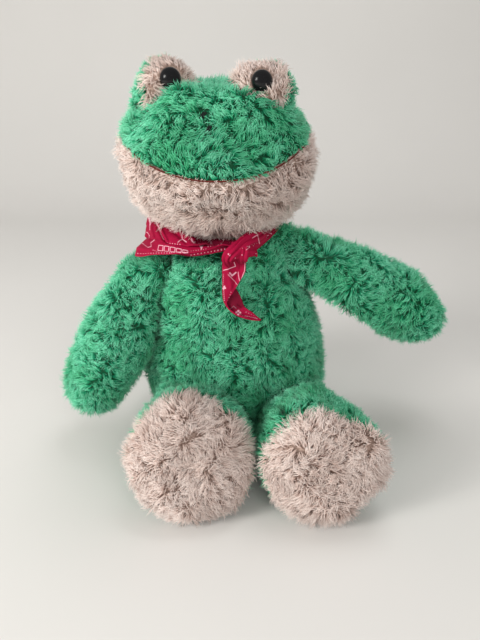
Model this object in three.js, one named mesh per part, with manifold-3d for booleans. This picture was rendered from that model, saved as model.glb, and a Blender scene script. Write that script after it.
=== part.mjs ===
import * as THREE from 'three';
import { mergeVertices } from 'three/addons/utils/BufferGeometryUtils.js';
import Module from 'manifold-3d';

// A stuffed frog that sits on its seat with its legs forward. Millimetres, +Z up, the face towards -Y.
// The origin is the middle of the flat seat. Left and right are the viewer's.

const wasm = await Module();
wasm.setup();

// Clearances
const seamGap = 0.3;
const turningGap = 0.7;
const sweepMargin = 2;
const overrun = 600;
const sweepStepDeg = 12;
const sweepOverDeg = 4;

// Plush: the backing cloth with its dense pile, as thick as it stands on the stuffing
const pileDepth = 9;

// Torso: a pear on a flat seat, slumped sideways by a few degrees
const torsoHalfWidth = 102;
const torsoHalfDepth = 74;
const torsoHeight = 243;
const torsoLeanDeg = -4.2;
const seatPress = 0.5;
const torsoProfileShares = [
  [0, 0], [0.52, 0.001], [0.85, 0.06], [0.985, 0.21], [1, 0.4], [0.93, 0.6], [0.78, 0.8], [0.5, 0.95], [0, 1],
];

// Neck: a ball on top of the torso that the head turns on
const neckRadius = 42;
const neckHeight = 240;
const neckForward = 6;
const headRangeDeg = [-45, 45];

// Head: a wide rounded form with a muzzle, split by the mouth into crown and jaw
const headHalfWidth = 92;
const headHalfDepth = 74;
const headHalfHeight = 69;
const headHeight = 317;
const headForward = 20;
const headSquareShare = 0.86;
const muzzleReach = 12;
const muzzleSpreadShare = 0.42;
const muzzleDropShare = -0.12;
const mouthHeight = 312;
const mouthRise = 27;
const mouthWrapShare = 0.7;
const mouthBlockShare = 1.3;
const settlePasses = 12;

// Mouth cord
const mouthCordRadius = 1.6;

// Eye mounds: green backs with cream fronts
const moundSpacing = 42.5;
const moundShift = -2;
const moundHalfWidth = 30;
const moundHalfDepth = 27;
const moundHalfHeight = 31;
const moundHeight = 377;
const moundForward = 36;
const patchSplitForward = 44;
const patchShrink = 1.5;

// Safety eyes and their lock washers
const eyeRadius = 9;
const eyeDomeHeight = 7;
const eyeRim = 1.5;
const eyeShankRadius = 2.5;
const eyeShankLength = 17;
const eyeHeight = 387;
const eyeSpacing = 38.5;
const eyeShift = 2;
const eyeSeatForward = 58;
const washerRadius = 6;
const washerThickness = 1.6;

// Nostrils: short stitched knots
const nostrilSpacing = 4.5;
const nostrilShift = -5;
const nostrilHeight = 357;
const nostrilRadius = 2.2;
const nostrilLength = 7;
const nostrilDrop = 3;
const nostrilTurnDeg = 29;
const nostrilLeanDeg = -40;

// Arms
const armLength = 189;
const armRootRadius = 29;
const armPivotSpacing = 76;
const armPivotHeight = 206;
const armPivotForward = 4;
const armFlatShare = 0.94;
const armMouthRadius = 3;
const armMouthLength = 95;
const leftArmMouthDeg = -15;
const rightArmMouthDeg = 15;
const leftArmBend = 11;
const rightArmBend = 0;
const armProfileShares = [
  [0.98, 0.1], [1.08, 0.25], [1.22, 0.42], [1.31, 0.6], [1.34, 0.75], [1.22, 0.89], [0.75, 0.975],
];
const leftArmDropDeg = 63;
const leftArmForwardDeg = 22;
const rightArmDropDeg = 23.5;
const rightArmForwardDeg = -5;
const leftArmRangeDeg = [-6, 65];
const rightArmRangeDeg = [-36, 34];

// Legs and soles
const legLength = 143;
const legRootRadius = 40;
const legPivotSpacing = 50;
const legPivotHeight = 45.5;
const legPivotForward = 28;
const leftLegRiseDeg = 7.9;
const rightLegRiseDeg = 6.1;
const leftLegSplayDeg = 1;
const rightLegSplayDeg = 14;
const footRadius = 63;
const leftFootTallShare = 1;
const rightFootTallShare = 0.93;
const leftFootTiltDeg = 17;
const rightFootTiltDeg = 9;
const leftFootTurnDeg = 0;
const rightFootTurnDeg = 12;
const footTiltFromShare = 0.35;
const soleThickness = 20;
const legProfileShares = [
  [0.58, 0.14], [0.57, 0.3], [0.66, 0.46], [0.9, 0.6], [1, 0.74], [0.96, 0.88], [0.62, 0.975],
];
const legRangeDeg = [-25, 22];

// Bandana: a folded band round the neck, its knot and its hanging end
const bandWidthRadius = 66;
const bandDepthRadius = 60;
const bandHeight = 21;
const bandLow = 234;
const bandTiltDeg = 5;
const bandLayer = 4;
const bandFoldDepth = 3;
const bandFoldShare = 0.52;
const bandFoldCount = 9;
const bandRippleShare = 0.35;
const bandRippleTopShare = 0.4;
const bandFlare = 34;
const bandFlareTurnDeg = 212;
const bandFlareSpreadDeg = 28;
const bandFlareDrop = 1;
const knotAcross = 11;
const knotDeep = 9;
const knotTall = 12;
const knotPinchShare = 0.18;
const knotLobes = 3;
const knotSide = 22;
const knotForward = 62;
const knotHeight = 243;
const tailLength = 62;
const tailHalfWidth = 12;
const tailThickness = 5;
const tailTwistDeg = 70;
const tailTwistFromShare = 0.35;
const tailTwistToShare = 0.9;
const tailThinShare = 0.5;
const tailWidthShares = [[0, 0.55], [0.2, 1], [0.45, 0.95], [0.62, 0.7], [0.8, 0.85], [1, 0.12]];
const chestRise = 12;
const chestRiseLength = 30;
const tailDropStart = 9;
const tailSideways = 16;
const tailShift = 8;
const tailRangeDeg = [0, 35];

// Facets
const bodyAround = 28;
const bodyAlong = 14;
const limbAround = 20;
const limbAlong = 14;
const innerAround = 12;
const innerAlong = 8;
const headAround = 32;
const headAlong = 18;
const ballAround = 28;
const ballAlong = 8;
const sweepAround = 20;
const cordSides = 6;
const roundSides = 20;
const arcSteps = 5;
const mouthSteps = 20;
const tailSteps = 16;
const tailSides = 12;
const cordSteps = 28;
const bandAround = 42;

const plushGreen = new THREE.MeshStandardMaterial({ color: 0x3f9a6c, roughness: 0.95, metalness: 0 });
const plushCream = new THREE.MeshStandardMaterial({ color: 0xd2c0b0, roughness: 0.95, metalness: 0 });
const filling = new THREE.MeshStandardMaterial({ color: 0xf1efea, roughness: 1, metalness: 0 });
const printedCotton = new THREE.MeshStandardMaterial({ color: 0xb01d49, roughness: 0.85, metalness: 0 });
const blackPlastic = new THREE.MeshStandardMaterial({ color: 0x08080a, roughness: 0.08, metalness: 0 });
const washerPlastic = new THREE.MeshStandardMaterial({ color: 0xe8e6df, roughness: 0.5, metalness: 0 });
const mouthCord = new THREE.MeshStandardMaterial({ color: 0x7d3b30, roughness: 0.8, metalness: 0 });
const darkThread = new THREE.MeshStandardMaterial({ color: 0x14281c, roughness: 0.8, metalness: 0 });

const xAxis = new THREE.Vector3(1, 0, 0);
const yAxis = new THREE.Vector3(0, 1, 0);
const zAxis = new THREE.Vector3(0, 0, 1);

// Geometry to solid and back

function toSolid(geometry) {
  const bare = geometry.index ? geometry.clone() : geometry;
  bare.deleteAttribute('normal');
  bare.deleteAttribute('uv');
  const merged = mergeVertices(bare);
  const index = merged.index.array;
  const faces = [];
  for (let i = 0; i < index.length; i += 3) {
    const [a, b, c] = [index[i], index[i + 1], index[i + 2]];
    if (a !== b && b !== c && c !== a) {
      faces.push(a, b, c);
    }
  }
  const triVerts = Uint32Array.from(faces);
  const vertProperties = Float32Array.from(merged.attributes.position.array);
  if (signedVolume(vertProperties, triVerts) < 0) {
    triVerts.reverse();
  }
  return new wasm.Manifold(new wasm.Mesh({ numProp: 3, vertProperties, triVerts }));
}

function signedVolume(points, faces) {
  const corner = (i) => new THREE.Vector3().fromArray(points, faces[i] * 3);
  let volume = 0;
  for (let i = 0; i < faces.length; i += 3) {
    volume += corner(i).dot(corner(i + 1).cross(corner(i + 2)));
  }
  return volume;
}

function toGeometry(solid) {
  const mesh = solid.getMesh();
  const geometry = new THREE.BufferGeometry();
  geometry.setAttribute('position', new THREE.BufferAttribute(Float32Array.from(mesh.vertProperties), 3));
  geometry.setIndex(new THREE.BufferAttribute(Uint32Array.from(mesh.triVerts), 1));
  return geometry;
}

function moved(geometry, matrix) {
  return geometry.clone().applyMatrix4(matrix);
}

function largest(solid) {
  const bodies = solid.decompose();
  return bodies.reduce((best, body) => (body.volume() > best.volume() ? body : best));
}

function place(group, name, solid, material) {
  group.updateMatrixWorld(true);
  const geometry = toGeometry(solid).applyMatrix4(group.matrixWorld.clone().invert());
  geometry.computeVertexNormals();
  const mesh = new THREE.Mesh(geometry, material);
  mesh.name = name;
  group.add(mesh);
  return mesh;
}

// Forms

function roundForm(profile, around) {
  const points = profile.map(([radius, height]) => new THREE.Vector2(Math.max(radius, 0), height));
  return new THREE.LatheGeometry(points, around).rotateX(Math.PI / 2);
}

function smoothProfile(points, count) {
  const curve = new THREE.SplineCurve(points.map(([radius, height]) => new THREE.Vector2(radius, height)));
  const smooth = curve.getPoints(count).map((point) => [point.x, point.y]);
  smooth[0][0] = 0;
  smooth[count][0] = 0;
  return smooth;
}

function deform(geometry, change) {
  const position = geometry.attributes.position;
  const point = new THREE.Vector3();
  for (let i = 0; i < position.count; i += 1) {
    point.fromBufferAttribute(position, i);
    change(point);
    position.setXYZ(i, point.x, point.y, point.z);
  }
  return geometry;
}

// The same form with every side moved in by a depth
function inset(geometry, depth) {
  geometry.computeBoundingBox();
  const size = geometry.boundingBox.getSize(new THREE.Vector3());
  const middle = geometry.boundingBox.getCenter(new THREE.Vector3());
  const share = size.clone().subScalar(2 * depth).divide(size);
  return deform(geometry.clone(), (point) => point.sub(middle).multiply(share).add(middle));
}

// A joint's ball or socket has its poles on the hinge line, so that its facets clear each other at every turn
function ball(radius, centre, hingeLine) {
  const upright = new THREE.Quaternion().setFromUnitVectors(yAxis, hingeLine);
  const sphere = new THREE.SphereGeometry(radius, ballAround, ballAlong).applyQuaternion(upright);
  return toSolid(sphere.translate(centre.x, centre.y, centre.z));
}

function halfSpace(matrix) {
  const box = new THREE.BoxGeometry(2 * overrun, 2 * overrun, 2 * overrun);
  return toSolid(moved(box.translate(0, 0, overrun), matrix));
}

const floorSpace = halfSpace(new THREE.Matrix4());

// Every place that a solid reaches while it turns about a pivot, seen from the piece that really turns
function swept(solid, pivot, axis, rangeDeg) {
  const from = rangeDeg[0] - sweepOverDeg;
  const to = rangeDeg[1] + sweepOverDeg;
  const steps = Math.ceil((to - from) / sweepStepDeg);
  const copies = [];
  for (let i = 0; i <= steps; i += 1) {
    const angle = -THREE.MathUtils.degToRad(THREE.MathUtils.lerp(from, to, i / steps));
    const turn = new THREE.Matrix4().makeTranslation(pivot.x, pivot.y, pivot.z)
      .multiply(new THREE.Matrix4().makeRotationAxis(axis, angle))
      .multiply(new THREE.Matrix4().makeTranslation(-pivot.x, -pivot.y, -pivot.z));
    copies.push(solid.transform(turn.elements));
  }
  return wasm.Manifold.union(copies);
}

// Torso

const leanShare = Math.tan(THREE.MathUtils.degToRad(torsoLeanDeg));

function torsoForm(around, along) {
  const span = torsoHeight + seatPress;
  const shape = torsoProfileShares.map(([radius, height]) => [radius * torsoHalfWidth, height * span - seatPress]);
  const form = roundForm(smoothProfile(shape, along), around).scale(1, torsoHalfDepth / torsoHalfWidth, 1);
  return deform(form, (point) => {
    point.x += point.z * leanShare;
    point.y -= neckForward * Math.max(point.z, 0) / torsoHeight;
  });
}

const neckPivot = new THREE.Vector3(neckHeight * leanShare, -neckForward, neckHeight);

function torsoOuter(around, along) {
  return toSolid(torsoForm(around, along)).add(ball(neckRadius, neckPivot, zAxis));
}

function fattened(geometry, depth) {
  return toSolid(inset(geometry, -depth));
}

// Head: a superellipsoid, so that its sides are fuller than a ball's, with a muzzle pulled forward

const headCentre = new THREE.Vector3(headHeight * leanShare, -headForward, headHeight);

function fuller(share) {
  return Math.sign(share) * Math.abs(share) ** headSquareShare;
}

function headForm(around, along) {
  const form = new THREE.SphereGeometry(1, around, along).rotateX(Math.PI / 2);
  return deform(form, (point) => {
    const front = Math.max(-point.y, 0);
    const level = (point.z - muzzleDropShare) / muzzleSpreadShare;
    const muzzle = muzzleReach * front * front * Math.exp(-level * level);
    point.x = fuller(point.x) * headHalfWidth;
    point.y = fuller(point.y) * headHalfDepth - muzzle;
    point.z = fuller(point.z) * headHalfHeight;
    point.add(headCentre);
  });
}

// The mouth runs level round the muzzle and climbs towards the cheeks
function mouthLevel(x) {
  const side = (x - headCentre.x) / headHalfWidth;
  return mouthHeight + mouthRise * side * side;
}

function underMouth() {
  const reach = headHalfWidth * mouthBlockShare;
  const outline = new THREE.Shape();
  outline.moveTo(headCentre.x - reach, headCentre.z - overrun);
  for (let i = 0; i <= mouthSteps; i += 1) {
    const x = headCentre.x + THREE.MathUtils.lerp(-reach, reach, i / mouthSteps);
    outline.lineTo(x, mouthLevel(x));
  }
  outline.lineTo(headCentre.x + reach, headCentre.z - overrun);
  const block = new THREE.ExtrudeGeometry(outline, { depth: 2 * overrun, bevelEnabled: false });
  return toSolid(block.translate(0, 0, -overrun).rotateX(Math.PI / 2));
}

// Where the mouth line meets the head's surface, going round the front from cheek to cheek
function mouthPath(count) {
  const points = [];
  for (let i = 0; i <= count; i += 1) {
    const turn = THREE.MathUtils.lerp(-mouthWrapShare, mouthWrapShare, i / count) * Math.PI / 2;
    points.push(onHead(turn));
  }
  return new THREE.CatmullRomCurve3(points);
}

function onHead(turn) {
  const direction = new THREE.Vector3(Math.sin(turn), -Math.cos(turn), 0);
  const point = new THREE.Vector3();
  let rise = 0;
  for (let pass = 0; pass < settlePasses; pass += 1) {
    const flat = Math.sqrt(1 - rise * rise);
    point.set(direction.x * flat, direction.y * flat, rise);
    const front = Math.max(-point.y, 0);
    const level = (rise - muzzleDropShare) / muzzleSpreadShare;
    const muzzle = muzzleReach * front * front * Math.exp(-level * level);
    point.x = fuller(point.x) * headHalfWidth + headCentre.x;
    point.y = fuller(point.y) * headHalfDepth - muzzle + headCentre.y;
    const wanted = (mouthLevel(point.x) - headCentre.z) / headHalfHeight;
    rise = Math.sign(wanted) * Math.abs(wanted) ** (1 / headSquareShare);
    point.z = mouthLevel(point.x);
  }
  return point;
}

function cordAlong(path, radius, steps) {
  const section = new THREE.Shape().absarc(0, 0, radius, 0, 2 * Math.PI);
  return new THREE.ExtrudeGeometry(section, {
    steps, extrudePath: path, curveSegments: cordSides / 2, bevelEnabled: false,
  });
}

// Eyes

function moundCentre(side) {
  return new THREE.Vector3(headCentre.x + moundShift + side * moundSpacing, -moundForward, moundHeight);
}

function moundForm(side, shrink) {
  const centre = moundCentre(side);
  return new THREE.SphereGeometry(1, roundSides, ballAlong)
    .scale(moundHalfWidth - shrink, moundHalfDepth, moundHalfHeight - shrink)
    .translate(centre.x, centre.y, centre.z);
}

function inFrontOf(forward) {
  const facing = new THREE.Matrix4().makeTranslation(0, -forward, 0)
    .multiply(new THREE.Matrix4().makeRotationX(Math.PI / 2));
  return halfSpace(facing);
}

function eyeAxis(side) {
  const x = headCentre.x + eyeShift + side * eyeSpacing;
  return new THREE.Matrix4().makeTranslation(x, -eyeSeatForward, eyeHeight)
    .multiply(new THREE.Matrix4().makeRotationX(Math.PI / 2));
}

function eyeForm() {
  const profile = [[0, -eyeShankLength], [eyeShankRadius, -eyeShankLength], [eyeShankRadius, 0], [eyeRadius, 0]];
  for (let i = 0; i <= arcSteps; i += 1) {
    const angle = (i / arcSteps) * (Math.PI / 2);
    profile.push([eyeRadius * Math.cos(angle), eyeRim + eyeDomeHeight * Math.sin(angle)]);
  }
  profile[profile.length - 1][0] = 0;
  return roundForm(profile, roundSides);
}

function turnedDisc(radius, low, high, around) {
  return roundForm([[0, low], [radius, low], [radius, high], [0, high]], around);
}

const washerBack = eyeSeatForward - patchSplitForward + washerThickness;

function washerForm() {
  const inner = eyeShankRadius + seamGap;
  const low = -washerBack;
  const high = low + washerThickness;
  return roundForm(
    [[inner, low], [washerRadius, low], [washerRadius, high], [inner, high], [inner, low]], roundSides,
  );
}

function addEye(group, side, label, headSolid) {
  const axis = eyeAxis(side);
  const cut = (low, high, radius) => toSolid(moved(turnedDisc(radius, low, high, roundSides), axis));
  const front = inFrontOf(patchSplitForward + seamGap / 2);
  const back = inFrontOf(patchSplitForward - seamGap / 2);
  const shankHole = cut(-eyeShankLength - seamGap, overrun, eyeShankRadius + seamGap);
  const seat = cut(0, overrun, eyeRadius + seamGap);
  const pocket = cut(-washerBack - seamGap, -washerBack + washerThickness + seamGap, washerRadius + seamGap);
  const patch = toSolid(moundForm(side, patchShrink)).intersect(front);
  const mound = toSolid(moundForm(side, 0)).subtract(back);
  place(group, `eye_patch_${label}`, largest(patch.subtract(headSolid).subtract(shankHole).subtract(seat)), plushCream);
  place(group, `eye_mound_${label}`, largest(mound.subtract(headSolid).subtract(shankHole).subtract(pocket)), plushGreen);
  place(group, `eye_${label}`, toSolid(moved(eyeForm(), axis)), blackPlastic);
  place(group, `eye_washer_${label}`, toSolid(moved(washerForm(), axis)), washerPlastic);
}

// Nostrils lie on the muzzle's upper front

const headSkin = new THREE.Mesh(headForm(headAround, headAlong), new THREE.MeshBasicMaterial({ side: THREE.DoubleSide }));

function frontOfHead(x, z) {
  const ray = new THREE.Raycaster(new THREE.Vector3(x, -overrun, z), new THREE.Vector3(0, 1, 0));
  return ray.intersectObject(headSkin)[0].point;
}

function nostrilForm(side) {
  const form = new THREE.SphereGeometry(1, cordSides, arcSteps + 1).rotateX(Math.PI / 2);
  const x = headCentre.x + nostrilShift + side * nostrilSpacing;
  const z = nostrilHeight - side * nostrilDrop;
  const seat = frontOfHead(x, z);
  return form.scale(nostrilRadius, nostrilRadius, nostrilLength / 2)
    .rotateY(side * THREE.MathUtils.degToRad(nostrilTurnDeg))
    .rotateX(THREE.MathUtils.degToRad(nostrilLeanDeg))
    .translate(seat.x, seat.y - nostrilRadius / 2, seat.z + nostrilRadius / 2);
}

// Limbs are turned about their own length, with a ball at the pivot

function limbForm(shares, rootRadius, wideRadius, length, around, along) {
  const start = [];
  for (let i = 0; i <= arcSteps; i += 1) {
    const angle = (i / arcSteps) * (Math.PI / 2);
    start.push([rootRadius * Math.sin(angle), -rootRadius * Math.cos(angle)]);
  }
  const rest = shares.map(([radius, height]) => [radius * wideRadius, height * length]);
  return roundForm(smoothProfile([...start, ...rest, [0, length]], along + arcSteps), around);
}

function armForm(bend, around, along) {
  const form = limbForm(armProfileShares, armRootRadius, armRootRadius, armLength, around, along);
  return deform(form.scale(1, armFlatShare, 1), (point) => {
    const share = Math.max(point.z, 0) / armLength;
    point.x += bend * share * share;
  });
}

function armMatrix(side, dropDeg, forwardDeg) {
  const drop = THREE.MathUtils.degToRad(90 + dropDeg);
  const forward = THREE.MathUtils.degToRad(forwardDeg);
  const pivot = armPivot(side);
  return new THREE.Matrix4().makeTranslation(pivot.x, pivot.y, pivot.z)
    .multiply(new THREE.Matrix4().makeRotationZ(-side * forward))
    .multiply(new THREE.Matrix4().makeRotationY(side * drop));
}

function armPivot(side) {
  const x = side * armPivotSpacing + armPivotHeight * leanShare;
  return new THREE.Vector3(x, -armPivotForward, armPivotHeight);
}

// The way for the filling: from inside the arm to the pivot, then out of the root into the torso
function armMouth(side, matrix, mouthDeg) {
  const pivot = armPivot(side);
  const along = turnedDisc(armMouthRadius, -armMouthRadius, armMouthLength, cordSides);
  const inwards = new THREE.Matrix4().makeTranslation(pivot.x, pivot.y, pivot.z)
    .multiply(new THREE.Matrix4().makeRotationY(-side * THREE.MathUtils.degToRad(90 + mouthDeg)));
  return toSolid(moved(along, matrix)).add(toSolid(moved(along, inwards)));
}

// The foot leans back by its tilt and faces inwards by its turn
function legForm(tallShare, tiltDeg, turnDeg, around, along) {
  const form = limbForm(legProfileShares, legRootRadius, footRadius, legLength, around, along);
  const tilt = Math.tan(THREE.MathUtils.degToRad(tiltDeg));
  const turn = Math.tan(THREE.MathUtils.degToRad(turnDeg));
  return deform(form.scale(1, tallShare, 1), (point) => {
    const share = THREE.MathUtils.smoothstep(point.z / legLength, footTiltFromShare, 1);
    point.z += (point.x * turn - point.y * tilt) * share;
  });
}

// A leg's own Z runs from the hip to the sole, and its own Y points up
function legMatrix(side, splayDeg, riseDeg) {
  const pivot = legPivot(side);
  const rise = THREE.MathUtils.degToRad(90 - riseDeg);
  return new THREE.Matrix4().makeTranslation(pivot.x, pivot.y, pivot.z)
    .multiply(new THREE.Matrix4().makeRotationZ(side * THREE.MathUtils.degToRad(splayDeg)))
    .multiply(new THREE.Matrix4().makeRotationX(rise));
}

function legPivot(side) {
  return new THREE.Vector3(side * legPivotSpacing, -legPivotForward, legPivotHeight);
}

// The plane between a leg's green plush and its cream sole, in the leg's own frame
function soleFace(tiltDeg, turnDeg) {
  return new THREE.Matrix4().makeTranslation(0, 0, legLength - soleThickness)
    .multiply(new THREE.Matrix4().makeRotationY(-THREE.MathUtils.degToRad(turnDeg)))
    .multiply(new THREE.Matrix4().makeRotationX(-THREE.MathUtils.degToRad(tiltDeg)));
}

// Bandana

function bandForm() {
  const lower = bandHeight * bandFoldShare;
  const profile = [
    [0, 0], [-bandFoldDepth, lower], [-2 * bandFoldDepth, lower + bandLayer / 2],
    [-3 * bandFoldDepth, bandHeight], [-3 * bandFoldDepth - 2 * bandLayer, bandHeight],
    [-bandFoldDepth - 4 * bandLayer, lower], [-4 * bandLayer, 0], [0, 0],
  ];
  const shape = profile.map(([out, up]) => [bandWidthRadius + out, up]);
  const ring = roundForm(shape, bandAround).scale(1, bandDepthRadius / bandWidthRadius, 1);
  return deform(ring, (point) => {
    const turn = Math.atan2(point.y, point.x);
    const radius = Math.hypot(point.x, point.y);
    const flareAt = THREE.MathUtils.degToRad(bandFlareTurnDeg);
    const away = Math.atan2(Math.sin(turn - flareAt), Math.cos(turn - flareAt));
    const share = Math.exp(-((away / THREE.MathUtils.degToRad(bandFlareSpreadDeg)) ** 2));
    const low = 1 - point.z / bandHeight;
    const fold = bandFoldDepth * bandRippleShare * Math.cos(bandFoldCount * turn) * (bandRippleTopShare + low);
    const out = (fold + bandFlare * share * low) / radius;
    point.x += point.x * out;
    point.y += point.y * out;
    point.z += bandLow - bandFlareDrop * share * low + point.x * Math.tan(THREE.MathUtils.degToRad(bandTiltDeg));
    point.x += (bandLow + bandHeight / 2) * leanShare;
    point.y -= neckForward;
  });
}

function knotCentre() {
  return new THREE.Vector3(neckPivot.x + knotSide, -knotForward - neckForward, knotHeight);
}

function knotForm() {
  const centre = knotCentre();
  const knot = new THREE.SphereGeometry(1, roundSides, ballAlong).rotateX(Math.PI / 2);
  return deform(knot, (point) => {
    const lobe = Math.cos(knotLobes * Math.atan2(point.z, point.x));
    const pinch = 1 - knotPinchShare * lobe * (1 - point.y * point.y);
    point.set(point.x * knotAcross * pinch, point.y * knotDeep, point.z * knotTall * pinch).add(centre);
  });
}

function tailPivot() {
  return knotCentre().add(new THREE.Vector3(0, 0, -tailDropStart));
}

// The hanging end is a flat folded strip that twists once and narrows to a point
function tailForm() {
  const pivot = tailPivot();
  const positions = [];
  const faces = [];
  const widths = new THREE.SplineCurve(tailWidthShares.map(([along, width]) => new THREE.Vector2(along, width)));
  for (let i = 0; i <= tailSteps; i += 1) {
    const share = i / tailSteps;
    const wide = tailHalfWidth * widths.getPoint(share).y;
    const thick = tailThickness / 2 * (1 - tailThinShare * share);
    const turned = THREE.MathUtils.smoothstep(share, tailTwistFromShare, tailTwistToShare);
    const twist = THREE.MathUtils.degToRad(tailTwistDeg) * turned;
    const drop = tailLength * share;
    for (let j = 0; j < tailSides; j += 1) {
      const angle = 2 * Math.PI * j / tailSides;
      const across = wide * Math.cos(angle);
      const deep = thick * Math.sin(angle);
      const x = across * Math.cos(twist) - deep * Math.sin(twist) + tailSideways * (2 * share * share - share);
      const y = across * Math.sin(twist) + deep * Math.cos(twist) - chestSlope(drop);
      positions.push(pivot.x - tailShift + x, pivot.y + y, pivot.z - drop);
      if (i < tailSteps) {
        const next = i * tailSides + (j + 1) % tailSides;
        const here = i * tailSides + j;
        faces.push(here, next, next + tailSides, here, next + tailSides, here + tailSides);
      }
    }
  }
  const end = tailSteps * tailSides;
  for (let j = 1; j < tailSides - 1; j += 1) {
    faces.push(0, j + 1, j);
    faces.push(end, end + j, end + j + 1);
  }
  const form = new THREE.BufferGeometry();
  form.setAttribute('position', new THREE.Float32BufferAttribute(positions, 3));
  form.setIndex(faces);
  return form;
}

// How far the chest comes forward below the knot
function chestSlope(drop) {
  return chestRise * (1 - Math.exp(-drop / chestRiseLength));
}

// Assembly

const frog = new THREE.Group();

function bodyGroup(pivot) {
  const group = new THREE.Group();
  group.position.copy(pivot);
  frog.add(group);
  return group;
}

const torsoGroup = bodyGroup(new THREE.Vector3());
const headGroup = bodyGroup(neckPivot);

const torsoSolid = torsoOuter(bodyAround, bodyAlong);
const torsoClear = fattened(torsoForm(sweepAround, bodyAlong), seamGap + sweepMargin)
  .add(ball(neckRadius + turningGap, neckPivot, zAxis));
const torsoCovered = fattened(torsoForm(innerAround, innerAlong), 2 * seamGap + sweepMargin + pileDepth);
const headPath = swept(fattened(headForm(sweepAround, innerAlong), seamGap + sweepMargin), neckPivot, zAxis, headRangeDeg);
const bandSolid = toSolid(bandForm()).subtract(headPath);
const bandClear = fattened(bandForm(), seamGap).subtract(headPath);
const bandSwing = fattened(bandForm(), seamGap + sweepMargin).subtract(headPath);

function armSocket(side) {
  return ball(armRootRadius + turningGap, armPivot(side), yAxis);
}

function legSocket(side) {
  return ball(legRootRadius + turningGap, legPivot(side), xAxis);
}

function addTorso() {
  const holes = wasm.Manifold.union([armSocket(-1), armSocket(1), legSocket(-1), legSocket(1)]);
  const hollow = toSolid(inset(torsoForm(innerAround, innerAlong), pileDepth));
  const stuffing = toSolid(inset(torsoForm(innerAround, innerAlong), pileDepth + seamGap));
  place(torsoGroup, 'torso_plush', largest(torsoSolid.intersect(floorSpace).subtract(hollow).subtract(holes)), plushGreen);
  place(torsoGroup, 'torso_stuffing', largest(stuffing.subtract(holes)), filling);
}

function addHead() {
  const outer = toSolid(headForm(headAround, headAlong));
  const neckHole = ball(neckRadius + turningGap, neckPivot, zAxis);
  const hollow = toSolid(inset(headForm(innerAround, innerAlong), pileDepth));
  const groove = toSolid(cordAlong(mouthPath(cordSteps), mouthCordRadius + seamGap, cordSteps));
  const shell = outer.subtract(hollow).subtract(neckHole).subtract(groove);
  const mouthBlock = underMouth();
  const raised = mouthBlock.translate([0, 0, seamGap / 2]);
  const lowered = mouthBlock.translate([0, 0, -seamGap / 2]);
  place(headGroup, 'head_crown', largest(shell.subtract(raised)), plushGreen);
  place(headGroup, 'head_jaw', largest(shell.intersect(lowered)), plushCream);
  const core = toSolid(inset(headForm(innerAround, innerAlong), pileDepth + seamGap));
  place(headGroup, 'head_stuffing', largest(core.subtract(neckHole)), filling);
  place(headGroup, 'mouth_cord', toSolid(cordAlong(mouthPath(cordSteps), mouthCordRadius, cordSteps)), mouthCord);
  const headClear = fattened(headForm(headAround, headAlong), seamGap);
  addEye(headGroup, -1, 'left', headClear);
  addEye(headGroup, 1, 'right', headClear);
  place(headGroup, 'nostril_left', toSolid(nostrilForm(-1)).subtract(headClear), darkThread);
  place(headGroup, 'nostril_right', toSolid(nostrilForm(1)).subtract(headClear), darkThread);
}

function addArm(side, label, dropDeg, forwardDeg, bend, mouthDeg, rangeDeg) {
  const matrix = armMatrix(side, dropDeg, forwardDeg);
  const pivot = armPivot(side);
  const group = bodyGroup(pivot);
  const turns = side < 0 ? rangeDeg : [-rangeDeg[1], -rangeDeg[0]];
  const root = ball(armRootRadius, pivot, yAxis);
  const path = swept(torsoClear.add(bandSwing), pivot, yAxis, turns);
  const innerPath = swept(torsoCovered, pivot, yAxis, turns);
  const outer = toSolid(moved(armForm(bend, limbAround, limbAlong), matrix)).subtract(path).add(root);
  const hollow = toSolid(moved(inset(armForm(bend, innerAround, innerAlong), pileDepth), matrix));
  const core = toSolid(moved(inset(armForm(bend, innerAround, innerAlong), pileDepth + seamGap), matrix));
  const skin = outer.subtract(hollow.subtract(innerPath)).subtract(armMouth(side, matrix, mouthDeg)).intersect(floorSpace);
  place(group, `arm_${label}`, largest(skin), plushGreen);
  place(group, `arm_stuffing_${label}`, largest(core.subtract(innerPath)), filling);
}

function addLeg(side, label, splayDeg, riseDeg, tallShare, tiltDeg, turnDeg) {
  const matrix = legMatrix(side, splayDeg, riseDeg);
  const pivot = legPivot(side);
  const group = bodyGroup(pivot);
  const turns = [-legRangeDeg[1], -legRangeDeg[0]];
  const path = swept(torsoClear, pivot, xAxis, turns);
  const innerPath = swept(torsoCovered, pivot, xAxis, turns);
  const form = (around, along) => legForm(tallShare, tiltDeg, turnDeg, around, along);
  const outer = toSolid(moved(form(limbAround, limbAlong), matrix)).subtract(path).add(ball(legRootRadius, pivot, xAxis));
  const hollow = toSolid(moved(inset(form(innerAround, innerAlong), pileDepth), matrix));
  const core = toSolid(moved(inset(form(innerAround, innerAlong), pileDepth + seamGap), matrix));
  const face = matrix.clone().multiply(soleFace(tiltDeg, turnDeg));
  const step = (distance) => halfSpace(face.clone().multiply(new THREE.Matrix4().makeTranslation(0, 0, distance)));
  const skin = outer.subtract(hollow.subtract(innerPath)).intersect(floorSpace);
  place(group, `leg_${label}`, largest(skin.subtract(step(-seamGap / 2))), plushGreen);
  place(group, `sole_${label}`, largest(skin.intersect(step(seamGap / 2))), plushCream);
  place(group, `leg_stuffing_${label}`, largest(core.subtract(innerPath)), filling);
}

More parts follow.
